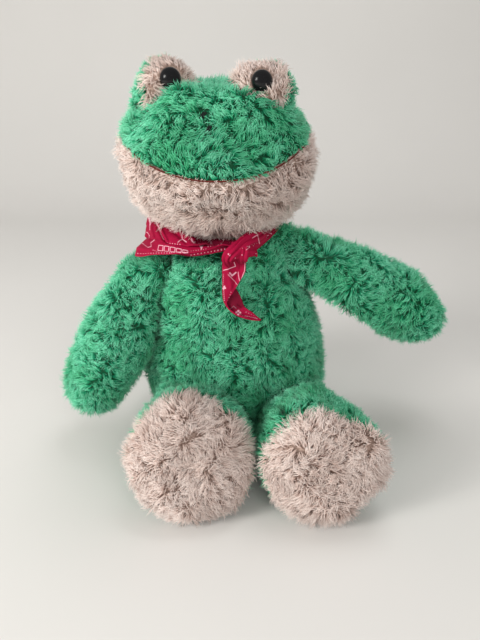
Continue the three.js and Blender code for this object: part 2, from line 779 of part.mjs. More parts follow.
function addBandana() {
  const knot = toSolid(knotForm());
  const cloth = bandSolid.add(knot).subtract(fattened(torsoForm(bodyAround, bodyAlong), seamGap))
    .subtract(ball(neckRadius + seamGap, neckPivot, zAxis)).subtract(armSocket(-1)).subtract(armSocket(1));
  place(torsoGroup, 'bandana', largest(cloth), printedCotton);
  const tailGroup = bodyGroup(tailPivot());
  const tail = toSolid(tailForm()).subtract(fattened(torsoForm(bodyAround, bodyAlong), seamGap))
    .subtract(swept(fattened(knotForm(), seamGap).add(bandClear), tailPivot(), xAxis, [-tailRangeDeg[1], 0]));
  place(tailGroup, 'bandana_tail', largest(tail), printedCotton);
}

addTorso();
addHead();
addArm(-1, 'left', leftArmDropDeg, leftArmForwardDeg, leftArmBend, leftArmMouthDeg, leftArmRangeDeg);
addArm(1, 'right', rightArmDropDeg, rightArmForwardDeg, rightArmBend, rightArmMouthDeg, rightArmRangeDeg);
addLeg(-1, 'left', leftLegSplayDeg, leftLegRiseDeg, leftFootTallShare, leftFootTiltDeg, leftFootTurnDeg);
addLeg(1, 'right', rightLegSplayDeg, rightLegRiseDeg, rightFootTallShare, rightFootTiltDeg, rightFootTurnDeg);
addBandana();

export default frog;
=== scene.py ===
import math

import bpy
import numpy as np
from mathutils import Matrix, Vector, kdtree
from mathutils.bvhtree import BVHTree


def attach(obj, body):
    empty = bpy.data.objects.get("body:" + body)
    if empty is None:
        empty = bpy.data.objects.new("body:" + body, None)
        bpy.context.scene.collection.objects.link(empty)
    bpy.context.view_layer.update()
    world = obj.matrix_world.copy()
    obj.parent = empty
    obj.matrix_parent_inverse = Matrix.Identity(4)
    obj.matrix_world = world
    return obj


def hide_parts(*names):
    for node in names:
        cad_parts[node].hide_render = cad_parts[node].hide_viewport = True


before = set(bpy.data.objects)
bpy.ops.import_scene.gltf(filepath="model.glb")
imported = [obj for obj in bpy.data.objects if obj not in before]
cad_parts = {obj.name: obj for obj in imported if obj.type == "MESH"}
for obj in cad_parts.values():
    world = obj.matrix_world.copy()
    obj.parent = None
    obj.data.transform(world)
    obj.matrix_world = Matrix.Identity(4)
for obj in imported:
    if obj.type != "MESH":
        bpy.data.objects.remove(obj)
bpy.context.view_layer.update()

# Lengths here are in millimetres, as in the solids, and become metres when a mesh is made
MM = 0.001
# How far the backings lie inside their solids, which leaves room for the pile
PILE, HEAD_PILE, MOUND_PILE, LEG_PILE = 7.5, 6, 5, 6
# How far backings and pile stay above what the frog sits on
SKIN_FLOOR, PILE_FLOOR = 0.2, 0.3
FUR_PIECE_LIMIT = 12400
QUICK_SHARE, QUICK_WIDTH = ((1.0, 1.0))

# Camera: where the photograph was taken from
CAMERA_PLACE = np.array([-3.0, -535.0, 400.0])
CAMERA_PITCH = math.radians(26.4)
AHEAD = np.array([0, math.cos(CAMERA_PITCH), -math.sin(CAMERA_PITCH)])
UP = np.array([0, math.sin(CAMERA_PITCH), math.cos(CAMERA_PITCH)])
FOCAL_PIXELS = 520.0
PHOTO_WIDTH, PHOTO_HEIGHT = 480, 640
SENSOR = 36.0


def add_object(name, data):
    thing = bpy.data.objects.new(name, data)
    bpy.context.scene.collection.objects.link(thing)
    return thing


def add_camera():
    data = bpy.data.cameras.new("camera")
    data.sensor_width = SENSOR
    data.lens = SENSOR * FOCAL_PIXELS / PHOTO_HEIGHT
    data.clip_start = 0.01
    camera = add_object("camera", data)
    camera.location = Vector(CAMERA_PLACE * MM)
    camera.rotation_euler = (math.pi / 2 - CAMERA_PITCH, 0, 0)
    bpy.context.scene.camera = camera


def at_pixel(across, down, y):
    """The point on the photograph's line of sight through a pixel that lies at the depth y."""
    sight = AHEAD + UP * (PHOTO_HEIGHT / 2 - down) / FOCAL_PIXELS
    sight[0] += (across - PHOTO_WIDTH / 2) / FOCAL_PIXELS
    return CAMERA_PLACE + sight * (y - CAMERA_PLACE[1]) / sight[1]


def to_pixels(points):
    """Where the photograph's camera sees points."""
    away = points - CAMERA_PLACE
    depth = away @ AHEAD
    across = PHOTO_WIDTH / 2 + FOCAL_PIXELS * away[:, 0] / depth
    return np.stack([across, PHOTO_HEIGHT / 2 - FOCAL_PIXELS * (away @ UP) / depth], 1)


add_camera()


# Shares and ways

def smoothstep(x, low, high):
    t = np.clip((x - low) / (high - low), 0, 1)
    return t * t * (3 - 2 * t)


def bell(x, middle, spread):
    return np.exp(-((x - middle) / spread) ** 2)


def nearness(places, start, end, width):
    """1 on the line from start to end, falling to 0 beside it."""
    start, way = np.array(start, float), np.subtract(end, start)
    t = np.clip(((places - start) @ way) / (way @ way), 0, 1)[:, None]
    return bell(distance(places - start, t * way), 0, width)


def unit(v):
    return v / np.maximum(np.linalg.norm(v, axis=-1, keepdims=True), 1e-9)


def laid(way, normal):
    """Ways turned down onto the surface."""
    return way - (way * normal).sum(1, keepdims=True) * normal


def distance(points, place):
    return np.linalg.norm(points - place, axis=1)


def turned(axis, degrees):
    return np.array(Matrix.Rotation(math.radians(degrees), 3, axis))


# Meshes

def new_mesh(name, points, faces, material):
    mesh = bpy.data.meshes.new(name)
    mesh.from_pydata((np.asarray(points) * MM).tolist(), [], [tuple(map(int, f)) for f in faces])
    mesh.validate()
    mesh.polygons.foreach_set("use_smooth", [True] * len(mesh.polygons))
    mesh.materials.append(material)
    return add_object(name, mesh)


def set_values(mesh, name, values):
    """Gives every vertex of a mesh a number that its material reads."""
    mesh.attributes.new(name, "FLOAT", "POINT").data.foreach_set("value", values.astype(np.float32))


def corners_of(points, triangles):
    return (points[triangles[:, k]] for k in range(3))


def areas(points, triangles):
    a, b, c = corners_of(points, triangles)
    return np.linalg.norm(np.cross(b - a, c - a), axis=1) / 2


def closed_form(meridians):
    """Points, faces and triangles that face out, from meridians, around x rows x 3, closed by fans."""
    around, rows = meridians.shape[:2]
    points = meridians.transpose(1, 0, 2).reshape(-1, 3)
    points = np.vstack([points, points[:around].mean(0), points[-around:].mean(0)])
    i = np.arange(around)
    n = (i + 1) % around
    ring = np.stack([i, n, n + around, i + around], 1)
    quads = np.concatenate([ring + row * around for row in range(rows - 1)])
    end = (rows - 1) * around
    low = np.stack([n, i, np.full(around, len(points) - 2)], 1)
    high = np.stack([end + i, end + n, np.full(around, len(points) - 1)], 1)
    fans = np.vstack([low, high])
    triangles = np.vstack([quads[:, [0, 1, 2]], quads[:, [0, 2, 3]], fans])
    faces = [tuple(f) for f in quads] + [tuple(f) for f in fans]
    a, b, c = corners_of(points, triangles)
    if (a * np.cross(b, c)).sum() < 0:
        return points, [f[::-1] for f in faces], triangles[:, ::-1]
    return points, faces, triangles


def grown(meridians, depth):
    """Meridians moved out along their normals by a depth, in by a negative one."""
    turn = np.roll(meridians, -1, 0) - np.roll(meridians, 1, 0)
    rise = np.gradient(meridians, axis=1)
    normal = np.cross(turn, rise)
    length = np.linalg.norm(normal, axis=2, keepdims=True)
    normal = normal / np.maximum(length, 1e-9)
    middle = meridians.reshape(-1, 3).mean(0)
    if (normal * (meridians - middle)).sum() < 0:
        normal = -normal
    for row, beside in ((0, 2), (-1, -3)):
        mean = normal[:, beside].mean(0)
        if length[:, row].max() < 1e-3:
            normal[:, row] = mean / np.linalg.norm(mean)
    return meridians + depth * normal


def spline(points, count):
    """Even steps along a smooth curve through points."""
    points = np.asarray(points, float)
    place = np.linspace(0, len(points) - 1, count + 1)
    i = np.minimum(place.astype(int), len(points) - 2)
    w = (place - i)[:, None]
    before, after = np.maximum(i - 1, 0), np.minimum(i + 2, len(points) - 1)
    p0, p1, p2, p3 = points[before], points[i], points[i + 1], points[after]
    v0, v1 = (p2 - p0) / 2, (p3 - p1) / 2
    return (2 * p1 - 2 * p2 + v0 + v1) * w ** 3 + (3 * p2 - 3 * p1 - 2 * v0 - v1) * w ** 2 + v0 * w + p1


def resampled(line, count):
    """A line of points at even steps of its length."""
    step = np.linalg.norm(np.diff(line, axis=0), axis=1)
    along = np.concatenate([[0], np.cumsum(step)])
    want = np.linspace(0, along[-1], count)
    return np.stack([np.interp(want, along, line[:, k]) for k in range(3)], 1)


def part_of(meridians, value, rows):
    """The part of each meridian where value is positive, at even steps."""
    kept = []
    for line in meridians:
        v = value(line)
        inside = v > 0
        if inside.all():
            kept.append(resampled(line, rows))
            continue
        first, last = np.flatnonzero(inside)[[0, -1]]
        cut = []
        if first > 0:
            w = v[first] / (v[first] - v[first - 1])
            cut.append(line[first] * (1 - w) + line[first - 1] * w)
        cut.extend(line[first:last + 1])
        if last < len(line) - 1:
            w = v[last] / (v[last] - v[last + 1])
            cut.append(line[last] * (1 - w) + line[last + 1] * w)
        kept.append(resampled(np.array(cut), rows))
    return np.array(kept)


def profile_of(stations, along):
    """A smooth profile through stations of radius and height, that starts and ends on the axis."""
    profile = spline(stations, along)
    profile[0, 0] = profile[-1, 0] = 0
    return profile


def revolved(profile, around, deep_share=1.0):
    angle = np.linspace(0, 2 * np.pi, around, endpoint=False)[:, None]
    radius, height = profile[:, 0][None], profile[:, 1][None]
    return np.stack([radius * np.cos(angle), radius * np.sin(angle) * deep_share, height + 0 * angle], 2)


# Torso

LEAN = math.tan(math.radians(-4.2))
TORSO_WIDTH, TORSO_DEPTH, TORSO_HEIGHT = 102, 74, 243
# How far the torso's top stands before its seat
TORSO_FORWARD = 6
NECK = np.array([240 * LEAN, -6, 240])
# Radius and height of the bag, as shares
SIDE_SHARES = [(0, 0), (0.52, 0.001), (0.85, 0.06), (0.985, 0.21), (1, 0.4), (0.93, 0.6), (0.78, 0.8)]
TORSO_SHARES = SIDE_SHARES + [(0.5, 0.95), (0, 1)]
NECK_SHARES = SIDE_SHARES + [(0.56, 0.93), (0.47, 1.0), (0.46, 1.06), (0.3, 1.1), (0, 1.105)]
TORSO_CURVE = spline(TORSO_SHARES, 60)


def torso_meridians(around, along):
    profile = profile_of(NECK_SHARES, along) * (TORSO_WIDTH, TORSO_HEIGHT)
    form = revolved(profile, around, TORSO_DEPTH / TORSO_WIDTH)
    form[..., 0] += form[..., 2] * LEAN
    form[..., 1] -= TORSO_FORWARD * np.maximum(form[..., 2], 0) / TORSO_HEIGHT
    return form


def torso_share(points):
    """How far out points lie, as a share of the torso's own radius at their height."""
    height = np.clip(points[:, 2] / TORSO_HEIGHT, 0, 1)
    radius = np.interp(height, TORSO_CURVE[:, 1], TORSO_CURVE[:, 0]) * TORSO_WIDTH
    x = points[:, 0] - points[:, 2] * LEAN
    y = points[:, 1] + TORSO_FORWARD * np.maximum(points[:, 2], 0) / TORSO_HEIGHT
    y = y * TORSO_WIDTH / TORSO_DEPTH
    return np.hypot(x, y) / np.maximum(radius, 8), x, y


def kept_off_torso(form, pivot, axis, reach, steps, root, wanted=0.99):
    """A limb's meridians pushed out of the way of the torso, at every turn of the limb."""
    points = form.reshape(-1, 3)
    far = smoothstep(distance(points, pivot), root * 0.9, root * 1.25)
    for _ in range(4):
        for degrees in np.linspace(*reach, steps):
            turn = turned(axis, degrees)
            posed = (points - pivot) @ turn.T + pivot
            share, x, y = torso_share(posed)
            low = (share < wanted) & (posed[:, 2] < TORSO_HEIGHT) & (posed[:, 2] > -20)
            push = np.where(low, wanted / np.maximum(share, 0.2) - 1, 0) * far * 0.5
            push = np.minimum(push, 0.3)
            posed[:, 0] += x * push
            posed[:, 1] += y * TORSO_DEPTH / TORSO_WIDTH * push
            points = (posed - pivot) @ turn + pivot
    return points.reshape(form.shape)


# Head

HEAD = np.array([317 * LEAN, -20, 317])
# Half of the head's size across, deep and up
HEAD_SIZE = np.array([92, 74, 69])
# Where each brow stands beside the middle of its mound, how high and how wide
BROWS = {-1: (13, 13.5, 18), 1: (-6, 7, 26)}
# Where the photograph shows the nostrils, in pixels, and how far they stand off the backing
NOSTRILS = {"left": (203.4, 115.4, 6.2), "right": (208.8, 129.4, 5.2)}


def ball(around, along):
    """The ways out from the middle of a ball along its meridians: across, deep and up."""
    angle = np.linspace(0, 2 * np.pi, around, endpoint=False)[:, None]
    fall = np.linspace(0, np.pi, along + 1)[None]
    return np.sin(fall) * np.cos(angle), np.sin(fall) * np.sin(angle), np.cos(fall) + 0 * angle


def head_meridians(around, along):
    way = np.stack(ball(around, along), 2)
    muzzle = 12 * np.maximum(-way[..., 1], 0) ** 2 * bell(way[..., 2], -0.12, 0.42)
    form = np.sign(way) * np.abs(way) ** 0.86 * HEAD_SIZE
    form[..., 1] -= muzzle
    form += HEAD
    across, deep, height = form[..., 0], form[..., 1], form[..., 2]
    brows = 0
    for side, (aside, tall, wide) in BROWS.items():
        middle = mound_centre(side)[0] + aside
        brows += tall * np.exp(-((across - middle) / wide) ** 2 - ((deep + 70) / 16) ** 2)
    chin = 4 * np.exp(-((across - HEAD[0]) / 42) ** 2 - ((deep + 66) / 34) ** 2)
    form[..., 0] -= 2.5 * smoothstep(height, 312, 332) * (1 - smoothstep(height, 360, 380))
    form[..., 2] += brows * smoothstep(height, 340, 360) - chin * (1 - smoothstep(height, 255, 290))
    return form


def head_backing():
    return grown(head_meridians(112, 120), -HEAD_PILE)


def mouth_level(x):
    share = (x - HEAD[0]) / HEAD_SIZE[0]
    return np.minimum(312 + 29 * share ** 2 + 7 * share ** 4, np.where(share < 0, 334, 341))


def above_mouth(points):
    return points[:, 2] - mouth_level(points[:, 0])


# Eye mounds

# Half of each mound's size across, deep and up, and how far before its middle the patch is split off
MOUND_SIZE = {-1: np.array([28.5, 27, 29.5]), 1: np.array([30, 27, 26])}
PATCH_SPLIT = {-1: 4, 1: -1}


def mound_centre(side):
    return np.array([HEAD[0] - 2 + side * 42.5, -36, 377])


def mound_meridians(side, around, along):
    """The pole is in front, so that the split is a ring. The left one is wider low down."""
    across, up, ahead = ball(around, along)
    form = np.stack([across, -ahead, up], 2) * MOUND_SIZE[side] + mound_centre(side)
    if side < 0:
        left = smoothstep(-across, 0.1, 0.8)
        form[..., 0] += left * (1.5 * smoothstep(up, 0.1, 0.7) - 8 * smoothstep(-up, -0.15, 0.5))
    return form


def before_split(side, points):
    """How far points lie on the patch's side of the split. The patch covers front, top and inner side."""
    way = np.array([-side * 0.62, -0.75, 0.25])
    return (points - mound_centre(side)) @ (way / np.linalg.norm(way)) - PATCH_SPLIT[side]


def eye_place(side):
    return np.array([HEAD[0] + 0.4 + side * 38.2, -56, 386.6 - side * 0.9])


# Limbs

ARM_SHARES = [(0.98, 0.1), (1.08, 0.25), (1.22, 0.42), (1.31, 0.6), (1.32, 0.75), (1.14, 0.89), (0.64, 0.975)]
# How far each arm hangs and how far it points forward, in degrees
ARM_POSE = {-1: (63, 22), 1: (23.5, -5)}
ARM_LENGTH, ARM_ROOT, SHOULDER_TOP = 189, 29, 203
# Each arm's bend, its share of the length, how much its underside narrows and from where to where, how much
# its shoulder's top is pressed, where it is fuller than its solid, and its joint's limits
ARMS = {
    -1: dict(bend=10, length_share=0.985, slim=(0.42, 45, 135), low_shoulder=0.85,
             fuller_at=(-1.5, 6.5, 85, 50), reach=(-6, 65)),
    1: dict(bend=3, length_share=0.975, slim=(0.34, 118, 170), low_shoulder=0,
            fuller_at=(-3.5, 6.5, 50, 45), reach=(-36, 34)),
}
LEG_SHARES = [(0.7, 0.14), (0.76, 0.3), (0.85, 0.46), (0.95, 0.6), (1, 0.74), (0.96, 0.88), (0.62, 0.975)]
LEG_LENGTH, LEG_ROOT, FOOT_RADIUS, SOLE_THICKNESS = 143, 40, 63, 20
LEG_REACH = (-25, 22)
# Each leg's angles in degrees, its shares of the foot's width and height, and how its foot narrows at the top
LEGS = {
    -1: dict(splay=1, rise=7.0, tall=0.99, tilt=17, swing=-7, longer=0, wide=0.97, top=(0.26, -4)),
    1: dict(splay=13, rise=5.0, tall=0.97, tilt=9, swing=12, longer=13, wide=0.96, top=(0.1, 0)),
}
# Where each sole is fuller or flatter than a disc: angle and spread in degrees, and a share of its radius
SOLE_BUMPS = {
    -1: [(-35, 22, 0.1), (-142, 42, -0.075), (35, 15, 0.05)],
    1: [(-41, 29, -0.25), (38, 14, 0.03), (68, 21, -0.15), (5, 14, -0.03)],
}


def hip(side):
    return np.array([side * 50, -28, 45.5])


def limb_meridians(shares, root, wide, length, around, along, tall):
    turn = np.linspace(0, np.pi / 2, 6)
    start = np.stack([root * np.sin(turn), -root * np.cos(turn)], 1)
    rest = np.array(shares) * (wide, length)
    return revolved(profile_of(np.vstack([start, rest, [(0, length)]]), along), around, tall)


def arm_frame(side):
    """The turn that lays an arm along its way, and its pivot."""
    drop, forward = ARM_POSE[side]
    turn = turned("Z", -side * forward) @ turned("Y", side * (90 + drop))
    return turn, np.array([side * 76 + 206 * LEAN, -4, 206])


def arm_form(side, bend, length_share, slim, around=64, along=70):
    form = limb_meridians(ARM_SHARES, ARM_ROOT, ARM_ROOT, ARM_LENGTH * length_share, around, along, 0.94)
    narrower, start, end = slim
    form[..., 0] *= 1 - narrower * (form[..., 0] < 0) * smoothstep(form[..., 2], start, end)
    form[..., 0] += bend * (np.maximum(form[..., 2], 0) / ARM_LENGTH) ** 2
    turn, pivot = arm_frame(side)
    return form @ turn.T + pivot, pivot


def leg_form(side, splay, rise, tall, tilt, swing, longer, wide, top, around=72, along=80):
    """A leg's meridians, and where its sole's seam lies and faces."""
    length = LEG_LENGTH + longer
    form = limb_meridians(LEG_SHARES, LEG_ROOT, FOOT_RADIUS * wide, length, around, along, tall)
    narrower, aside = top
    upper = smoothstep(form[..., 1], 10, FOOT_RADIUS) * smoothstep(form[..., 2], 90, 120)
    form[..., 0] = form[..., 0] * (1 - narrower * upper) + aside * upper
    angle = np.degrees(np.arctan2(form[..., 1], form[..., 0]))
    bumps = sum(more * bell((angle - middle + 180) % 360, 180, spread)
                for middle, spread, more in SOLE_BUMPS[side])
    form[..., :2] *= (1 + bumps * smoothstep(form[..., 2], 60, 115))[..., None]
    lean, face = math.tan(math.radians(tilt)), math.tan(math.radians(swing))
    share = smoothstep(form[..., 2] / length, 0.35, 1)
    form[..., 2] += (form[..., 0] * face - form[..., 1] * lean) * share
    turn = turned("Z", side * splay) @ turned("X", 90 - rise)
    sole = turned("Y", -swing) @ turned("X", -tilt)
    place = turn @ np.array([0, 0, length - SOLE_THICKNESS]) + hip(side)
    return form @ turn.T + hip(side), place, turn @ sole @ np.array([0, 0, 1])


# Materials

class Paint:
    """A material, with short ways to make its nodes and join them."""

    def __init__(self, name):
        self.material = bpy.data.materials.new(name)
        self.material.use_nodes = True
        self.nodes = self.material.node_tree.nodes
        self.links = self.material.node_tree.links
        self.shader = next(n for n in self.nodes if n.type == "BSDF_PRINCIPLED")

    def fill(self, node, **values):
        """Sets the inputs of a node by their names, with _ for each space."""
        for name, value in values.items():
            node.inputs[name.replace("_", " ")].default_value = value

    def node(self, kind, **values):
        node = self.nodes.new(kind)
        self.fill(node, **values)
        return node

    def mixed(self, factor, low, high, blend="MIX"):
        """A colour mix of sockets or plain values."""
        node = self.nodes.new("ShaderNodeMix")
        node.data_type = "RGBA"
        node.blend_type = blend
        for socket, value in ((node.inputs["Factor"], factor), (node.inputs[6], low), (node.inputs[7], high)):
            if hasattr(value, "links"):
                self.links.new(value, socket)
            else:
                socket.default_value = (*value, 1) if isinstance(value, tuple) else value
        return node.outputs[2]

    def attribute(self, name):
        node = self.nodes.new("ShaderNodeAttribute")
        node.attribute_name = name
        return node.outputs["Fac"]

    def noise(self, scale):
        node = self.node("ShaderNodeTexNoise", Scale=scale, Detail=3.0)
        self.links.new(self.nodes.new("ShaderNodeTexCoord").outputs["Object"], node.inputs["Vector"])
        return node.outputs["Fac"]

    def ramp(self, factor, stops):
        node = self.nodes.new("ShaderNodeValToRGB")
        while len(node.color_ramp.elements) < len(stops):
            node.color_ramp.elements.new(0.5)
        for element, (place, colour) in zip(node.color_ramp.elements, stops):
            element.position = place
            element.color = (*colour, 1)
        self.links.new(factor, node.inputs["Fac"])
        return node.outputs["Color"]

    def bump(self, scale, strength, rise):
        node = self.node("ShaderNodeBump", Strength=strength, Distance=rise)
        self.links.new(self.noise(scale), node.inputs["Height"])
        self.links.new(node.outputs["Normal"], self.shader.inputs["Normal"])

    def finished(self, base, **values):
        """Joins the colour, sets the shader's other inputs and gives the material."""
        self.links.new(base, self.shader.inputs["Base Color"])
        self.fill(self.shader, **values)
        return self.material


BLACK, WHITE = (0, 0, 0), (1, 1, 1)


def linear(red, green, blue):
    """A colour as it is seen on a screen, 0 to 255, as the shader takes it."""
    share = np.array([red, green, blue]) / 255
    return tuple(np.where(share <= 0.04045, share / 12.92, ((share + 0.055) / 1.055) ** 2.4).tolist())


def fur_material(name, root, middle, tip_and_highlight, other):
    """Pile with painted light: darker at its root as painted shade deep in the pile, lighter at its tip as a
    painted highlight, tufts lighter or darker by random tone and by painted light and shade, and random
    patches of another tone.
    """
    paint = Paint(name)
    # Along each strand the dark root is painted shade and the light tip is a painted highlight
    along = paint.ramp(paint.attribute("along"), [(0.0, root), (0.45, middle), (1.0, tip_and_highlight)])
    patch = paint.ramp(paint.noise(22.0), [(0.42, BLACK), (0.62, WHITE)])
    # Each tuft's tint, partly painted light and shade, mixed with random patches of tone
    tone_and_shade = paint.mixed(0.5, paint.attribute("tuft_tone_and_shade"), patch)
    base = paint.mixed(tone_and_shade, along, paint.mixed(1.0, along, other, "MULTIPLY"))
    sheen = dict(Sheen_Weight=0.12, Sheen_Roughness=0.5)
    return paint.finished(base, Roughness=0.6, Specular_IOR_Level=0.15, **sheen)


def cloth_material(name, colour, other, scale):
    """A plain knitted or woven surface."""
    paint = Paint(name)
    paint.bump(scale * 8, 0.4, 0.0004)
    return paint.finished(paint.mixed(paint.noise(scale), colour, other), Roughness=0.85)


def printed_material():
    """Crimson cotton with a pale print that is a little worn, and its duller back, made darker also as
    painted shade.
    """
    paint = Paint("printed_cotton")
    crimson = paint.mixed(paint.noise(45.0), linear(138, 6, 46), linear(168, 14, 62))
    worn = paint.mixed(paint.noise(420.0), linear(232, 190, 202), linear(208, 128, 152))
    inked = paint.ramp(paint.attribute("print"), [(0.45, BLACK), (0.53, WHITE)])
    face = paint.mixed(inked, crimson, worn)
    # The back colour is the cloth's duller reverse side, made darker as painted shade of the folds
    back = paint.mixed(0.75, face, linear(84, 8, 30))
    paint.bump(1500.0, 0.35, 0.0003)
    base = paint.mixed(paint.attribute("back"), face, back)
    return paint.finished(base, Roughness=0.8, Specular_IOR_Level=0.2)


def eye_material():
    paint = Paint("eye_black")
    paint.fill(paint.shader, Base_Color=(0.004, 0.004, 0.005, 1), Roughness=0.2, Specular_IOR_Level=0.3)
    return paint.material


# Root, middle and tip colours of the pile: the dark roots are painted shade and the light tips are a painted
# highlight
green_fur = fur_material(
    "green_pile", linear(0, 76, 48), linear(34, 162, 118), linear(158, 252, 214), (0.4, 0.7, 0.54),
)
cream_fur = fur_material(
    "cream_pile", linear(138, 112, 98), linear(214, 191, 181), linear(252, 242, 236), (0.82, 0.77, 0.75),
)
green_back = cloth_material("green_backing", linear(18, 70, 46), linear(30, 96, 64), 60)
cream_back = cloth_material("cream_backing", linear(168, 146, 134), linear(184, 162, 150), 60)
cord_red = cloth_material("mouth_cord_red", linear(112, 46, 36), linear(92, 32, 28), 300)
dark_thread = cloth_material("dark_thread", linear(12, 24, 20), linear(6, 12, 11), 300)
printed_cotton = printed_material()
eye_black = eye_material()


# Fur

# Where a strand's three rings and its tip lie along it, and how wide its rings are
RING_SHARE = np.array([0.0, 0.36, 0.7, 1.0])
RING_WIDTH = np.array([1.0, 0.9, 0.6])


def vertex_normals(points, triangles):
    a, b, c = corners_of(points, triangles)
    face = np.cross(b - a, c - a)
    normal = np.zeros_like(points)
    for k in range(3):
        np.add.at(normal, triangles[:, k], face)
    return normal / np.maximum(np.linalg.norm(normal, axis=1, keepdims=True), 1e-12)


def roots_on(rng, points, triangles, count):
    """Random places on a surface, with its normals there."""
    normal = vertex_normals(points, triangles)
    area = areas(points, triangles)
    pick = rng.choice(len(triangles), count, p=area / area.sum())
    u, v = rng.random(count), rng.random(count)
    over = u + v > 1
    u[over], v[over] = 1 - u[over], 1 - v[over]
    weight = np.stack([1 - u - v, u, v], 1)[:, :, None]
    chosen = triangles[pick]
    return (points[chosen] * weight).sum(1), unit((normal[chosen] * weight).sum(1))


def flow(root, normal, rng, waves=7):
    """Which way a hand last brushed the pile, a slow change of direction over the surface."""
    sweep = np.zeros_like(root)
    for _ in range(waves):
        way = rng.normal(size=3)
        wave = way / np.linalg.norm(way) * 2 * np.pi / rng.uniform(22, 70)
        sweep += rng.normal(size=3) * np.sin(root @ wave + rng.uniform(0, 2 * np.pi))[:, None]
    return laid(sweep, normal) / math.sqrt(waves)


def strand_paths(rng, root, normal, length, lean, spacing, messy, clump, curl):
    """Curved strands, gathered into tufts that each lean their own way."""
    count = len(root)
    centre = rng.permutation(count)[:max(4, int(count / spacing))]
    tree = kdtree.KDTree(len(centre))
    for i, c in enumerate(centre):
        tree.insert(root[c], i)
    tree.balance()
    tuft = np.array([tree.find(p)[1] for p in root])
    sway = laid(rng.normal(size=(len(centre), 3)) * messy, normal[centre])
    sway += 1.5 * messy * flow(root[centre], normal[centre], rng)
    own = rng.normal(size=(count, 3))
    tuft_length = rng.uniform(0.8, 1.15, len(centre))[tuft]
    length = length * tuft_length * rng.uniform(0.78, 1.2, count)
    start = unit(normal + 0.3 * lean + 0.3 * sway[tuft] + 0.2 * own)
    end = unit(normal * 0.75 + lean + sway[tuft] + 0.18 * own)
    gather = (root[centre][tuft] - root) * clump
    side = unit(np.cross(end, own))
    other = np.cross(end, side)
    phase = rng.uniform(0, 2 * np.pi, len(centre))[tuft][:, None] + rng.normal(size=(count, 1)) * 0.5
    paths = []
    for s in RING_SHARE:
        bent = root + length[:, None] * (2 * s * (1 - s) * 0.5 * start + s * s * end) + gather * s * s
        wave = curl * s * (np.cos(5 * s + phase) * side + np.sin(5 * s + phase) * other)
        paths.append(bent + wave)
    # Each tuft's tint is partly random tone and partly painted light and shade: tufts brushed one way are
    # painted lighter, as if they caught the light, and the others darker
    tone_and_shade = 0.45 + 0.22 * flow(root[centre], normal[centre], rng)[:, 0] + rng.normal(0, 0.26, len(centre))
    tuft_tone_and_shade = np.clip(tone_and_shade[tuft] + rng.normal(0, 0.16, count), 0, 1)
    return np.stack(paths, 1), side, other, tuft_tone_and_shade


def strand_faces():
    """The corners of a strand's faces, their counts, and where each corner lies in the bake's map."""
    corners, sizes, cell = [], [], []
    for k in range(2):
        for j in range(3):
            n = (j + 1) % 3
            corners += [3 * k + j, 3 * k + n, 3 * k + 3 + n, 3 * k + 3 + j]
            cell += [(j, k), (j + 1, k), (j + 1, k + 1), (j, k + 1)]
            sizes.append(4)
    for j in range(3):
        corners += [6 + j, 6 + (j + 1) % 3, 9]
        cell += [(j, 2), (j + 1, 2), (j + 0.5, 3)]
        sizes.append(3)
    corners += [2, 1, 0]
    cell += [(0, 0), (1, 0), (2, 0)]
    sizes.append(3)
    return np.array(corners), np.array(sizes), np.array(cell, float)


def strand_mesh(name, paths, side, other, normal, width, tuft_tone_and_shade, material):
    """Every strand is a closed spike of three sides, with its own cell in the bake's map."""
    count = len(paths)
    turn = np.array([0, 2, 4]) * np.pi / 3
    across = np.cos(turn)[None, :, None] * side[:, None] + np.sin(turn)[None, :, None] * other[:, None]
    rings = [paths[:, k, None] + across * (width * share)[:, None, None]
             for k, share in enumerate(RING_WIDTH)]
    points = np.concatenate([np.concatenate(rings, 1), paths[:, 3, None]], 1) * MM
    corners, sizes, cell = strand_faces()
    mesh = bpy.data.meshes.new(name)
    mesh.vertices.add(count * 10)
    mesh.vertices.foreach_set("co", points.reshape(-1).astype(np.float32))
    loops = (np.arange(count)[:, None] * 10 + corners[None]).reshape(-1)
    total = np.tile(sizes, count)
    mesh.loops.add(len(loops))
    mesh.loops.foreach_set("vertex_index", loops.astype(np.int32))
    mesh.polygons.add(len(total))
    mesh.polygons.foreach_set("loop_start", (np.cumsum(total) - total).astype(np.int32))
    mesh.polygons.foreach_set("loop_total", total.astype(np.int32))
    mesh.update(calc_edges=True)
    mesh.validate()
    mesh.polygons.foreach_set("use_smooth", [True] * len(mesh.polygons))
    way = unit(paths[:, 3] - paths[:, 0])[:, None]
    ring = 0.75 * across + 0.35 * normal[:, None] + 0.5 * way
    soft = unit(np.concatenate([ring, ring, ring, 0.5 * normal[:, None] + 0.7 * way], 1))
    shaded = mesh.attributes.new("custom_normal", "FLOAT_VECTOR", "POINT")
    shaded.data.foreach_set("vector", soft.reshape(-1).astype(np.float32))
    cells = math.ceil(math.sqrt(count))
    corner = np.stack([np.arange(count) % cells, np.arange(count) // cells], 1)
    place = (corner[:, None] + 0.15 + 0.7 * cell[None] / 3) / cells
    mesh.uv_layers.new(name="OFBake").data.foreach_set("uv", place.reshape(-1).astype(np.float32))
    set_values(mesh, "along", np.tile(np.concatenate([np.repeat(RING_SHARE[:3], 3), [1.0]]), count))
    # The tint carries painted light and shade for each tuft as well as its random tone
    set_values(mesh, "tuft_tone_and_shade", np.repeat(tuft_tone_and_shade, 10))
    mesh.materials.append(material)
    return add_object(name, mesh)


def belongs(piece, body, slot, *nodes):
    """Attaches a piece to what it rides on and hides the solids that it stands for. The slot of its finish is
    not used.
    """
    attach(piece, body)
    if nodes:
        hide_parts(*nodes)


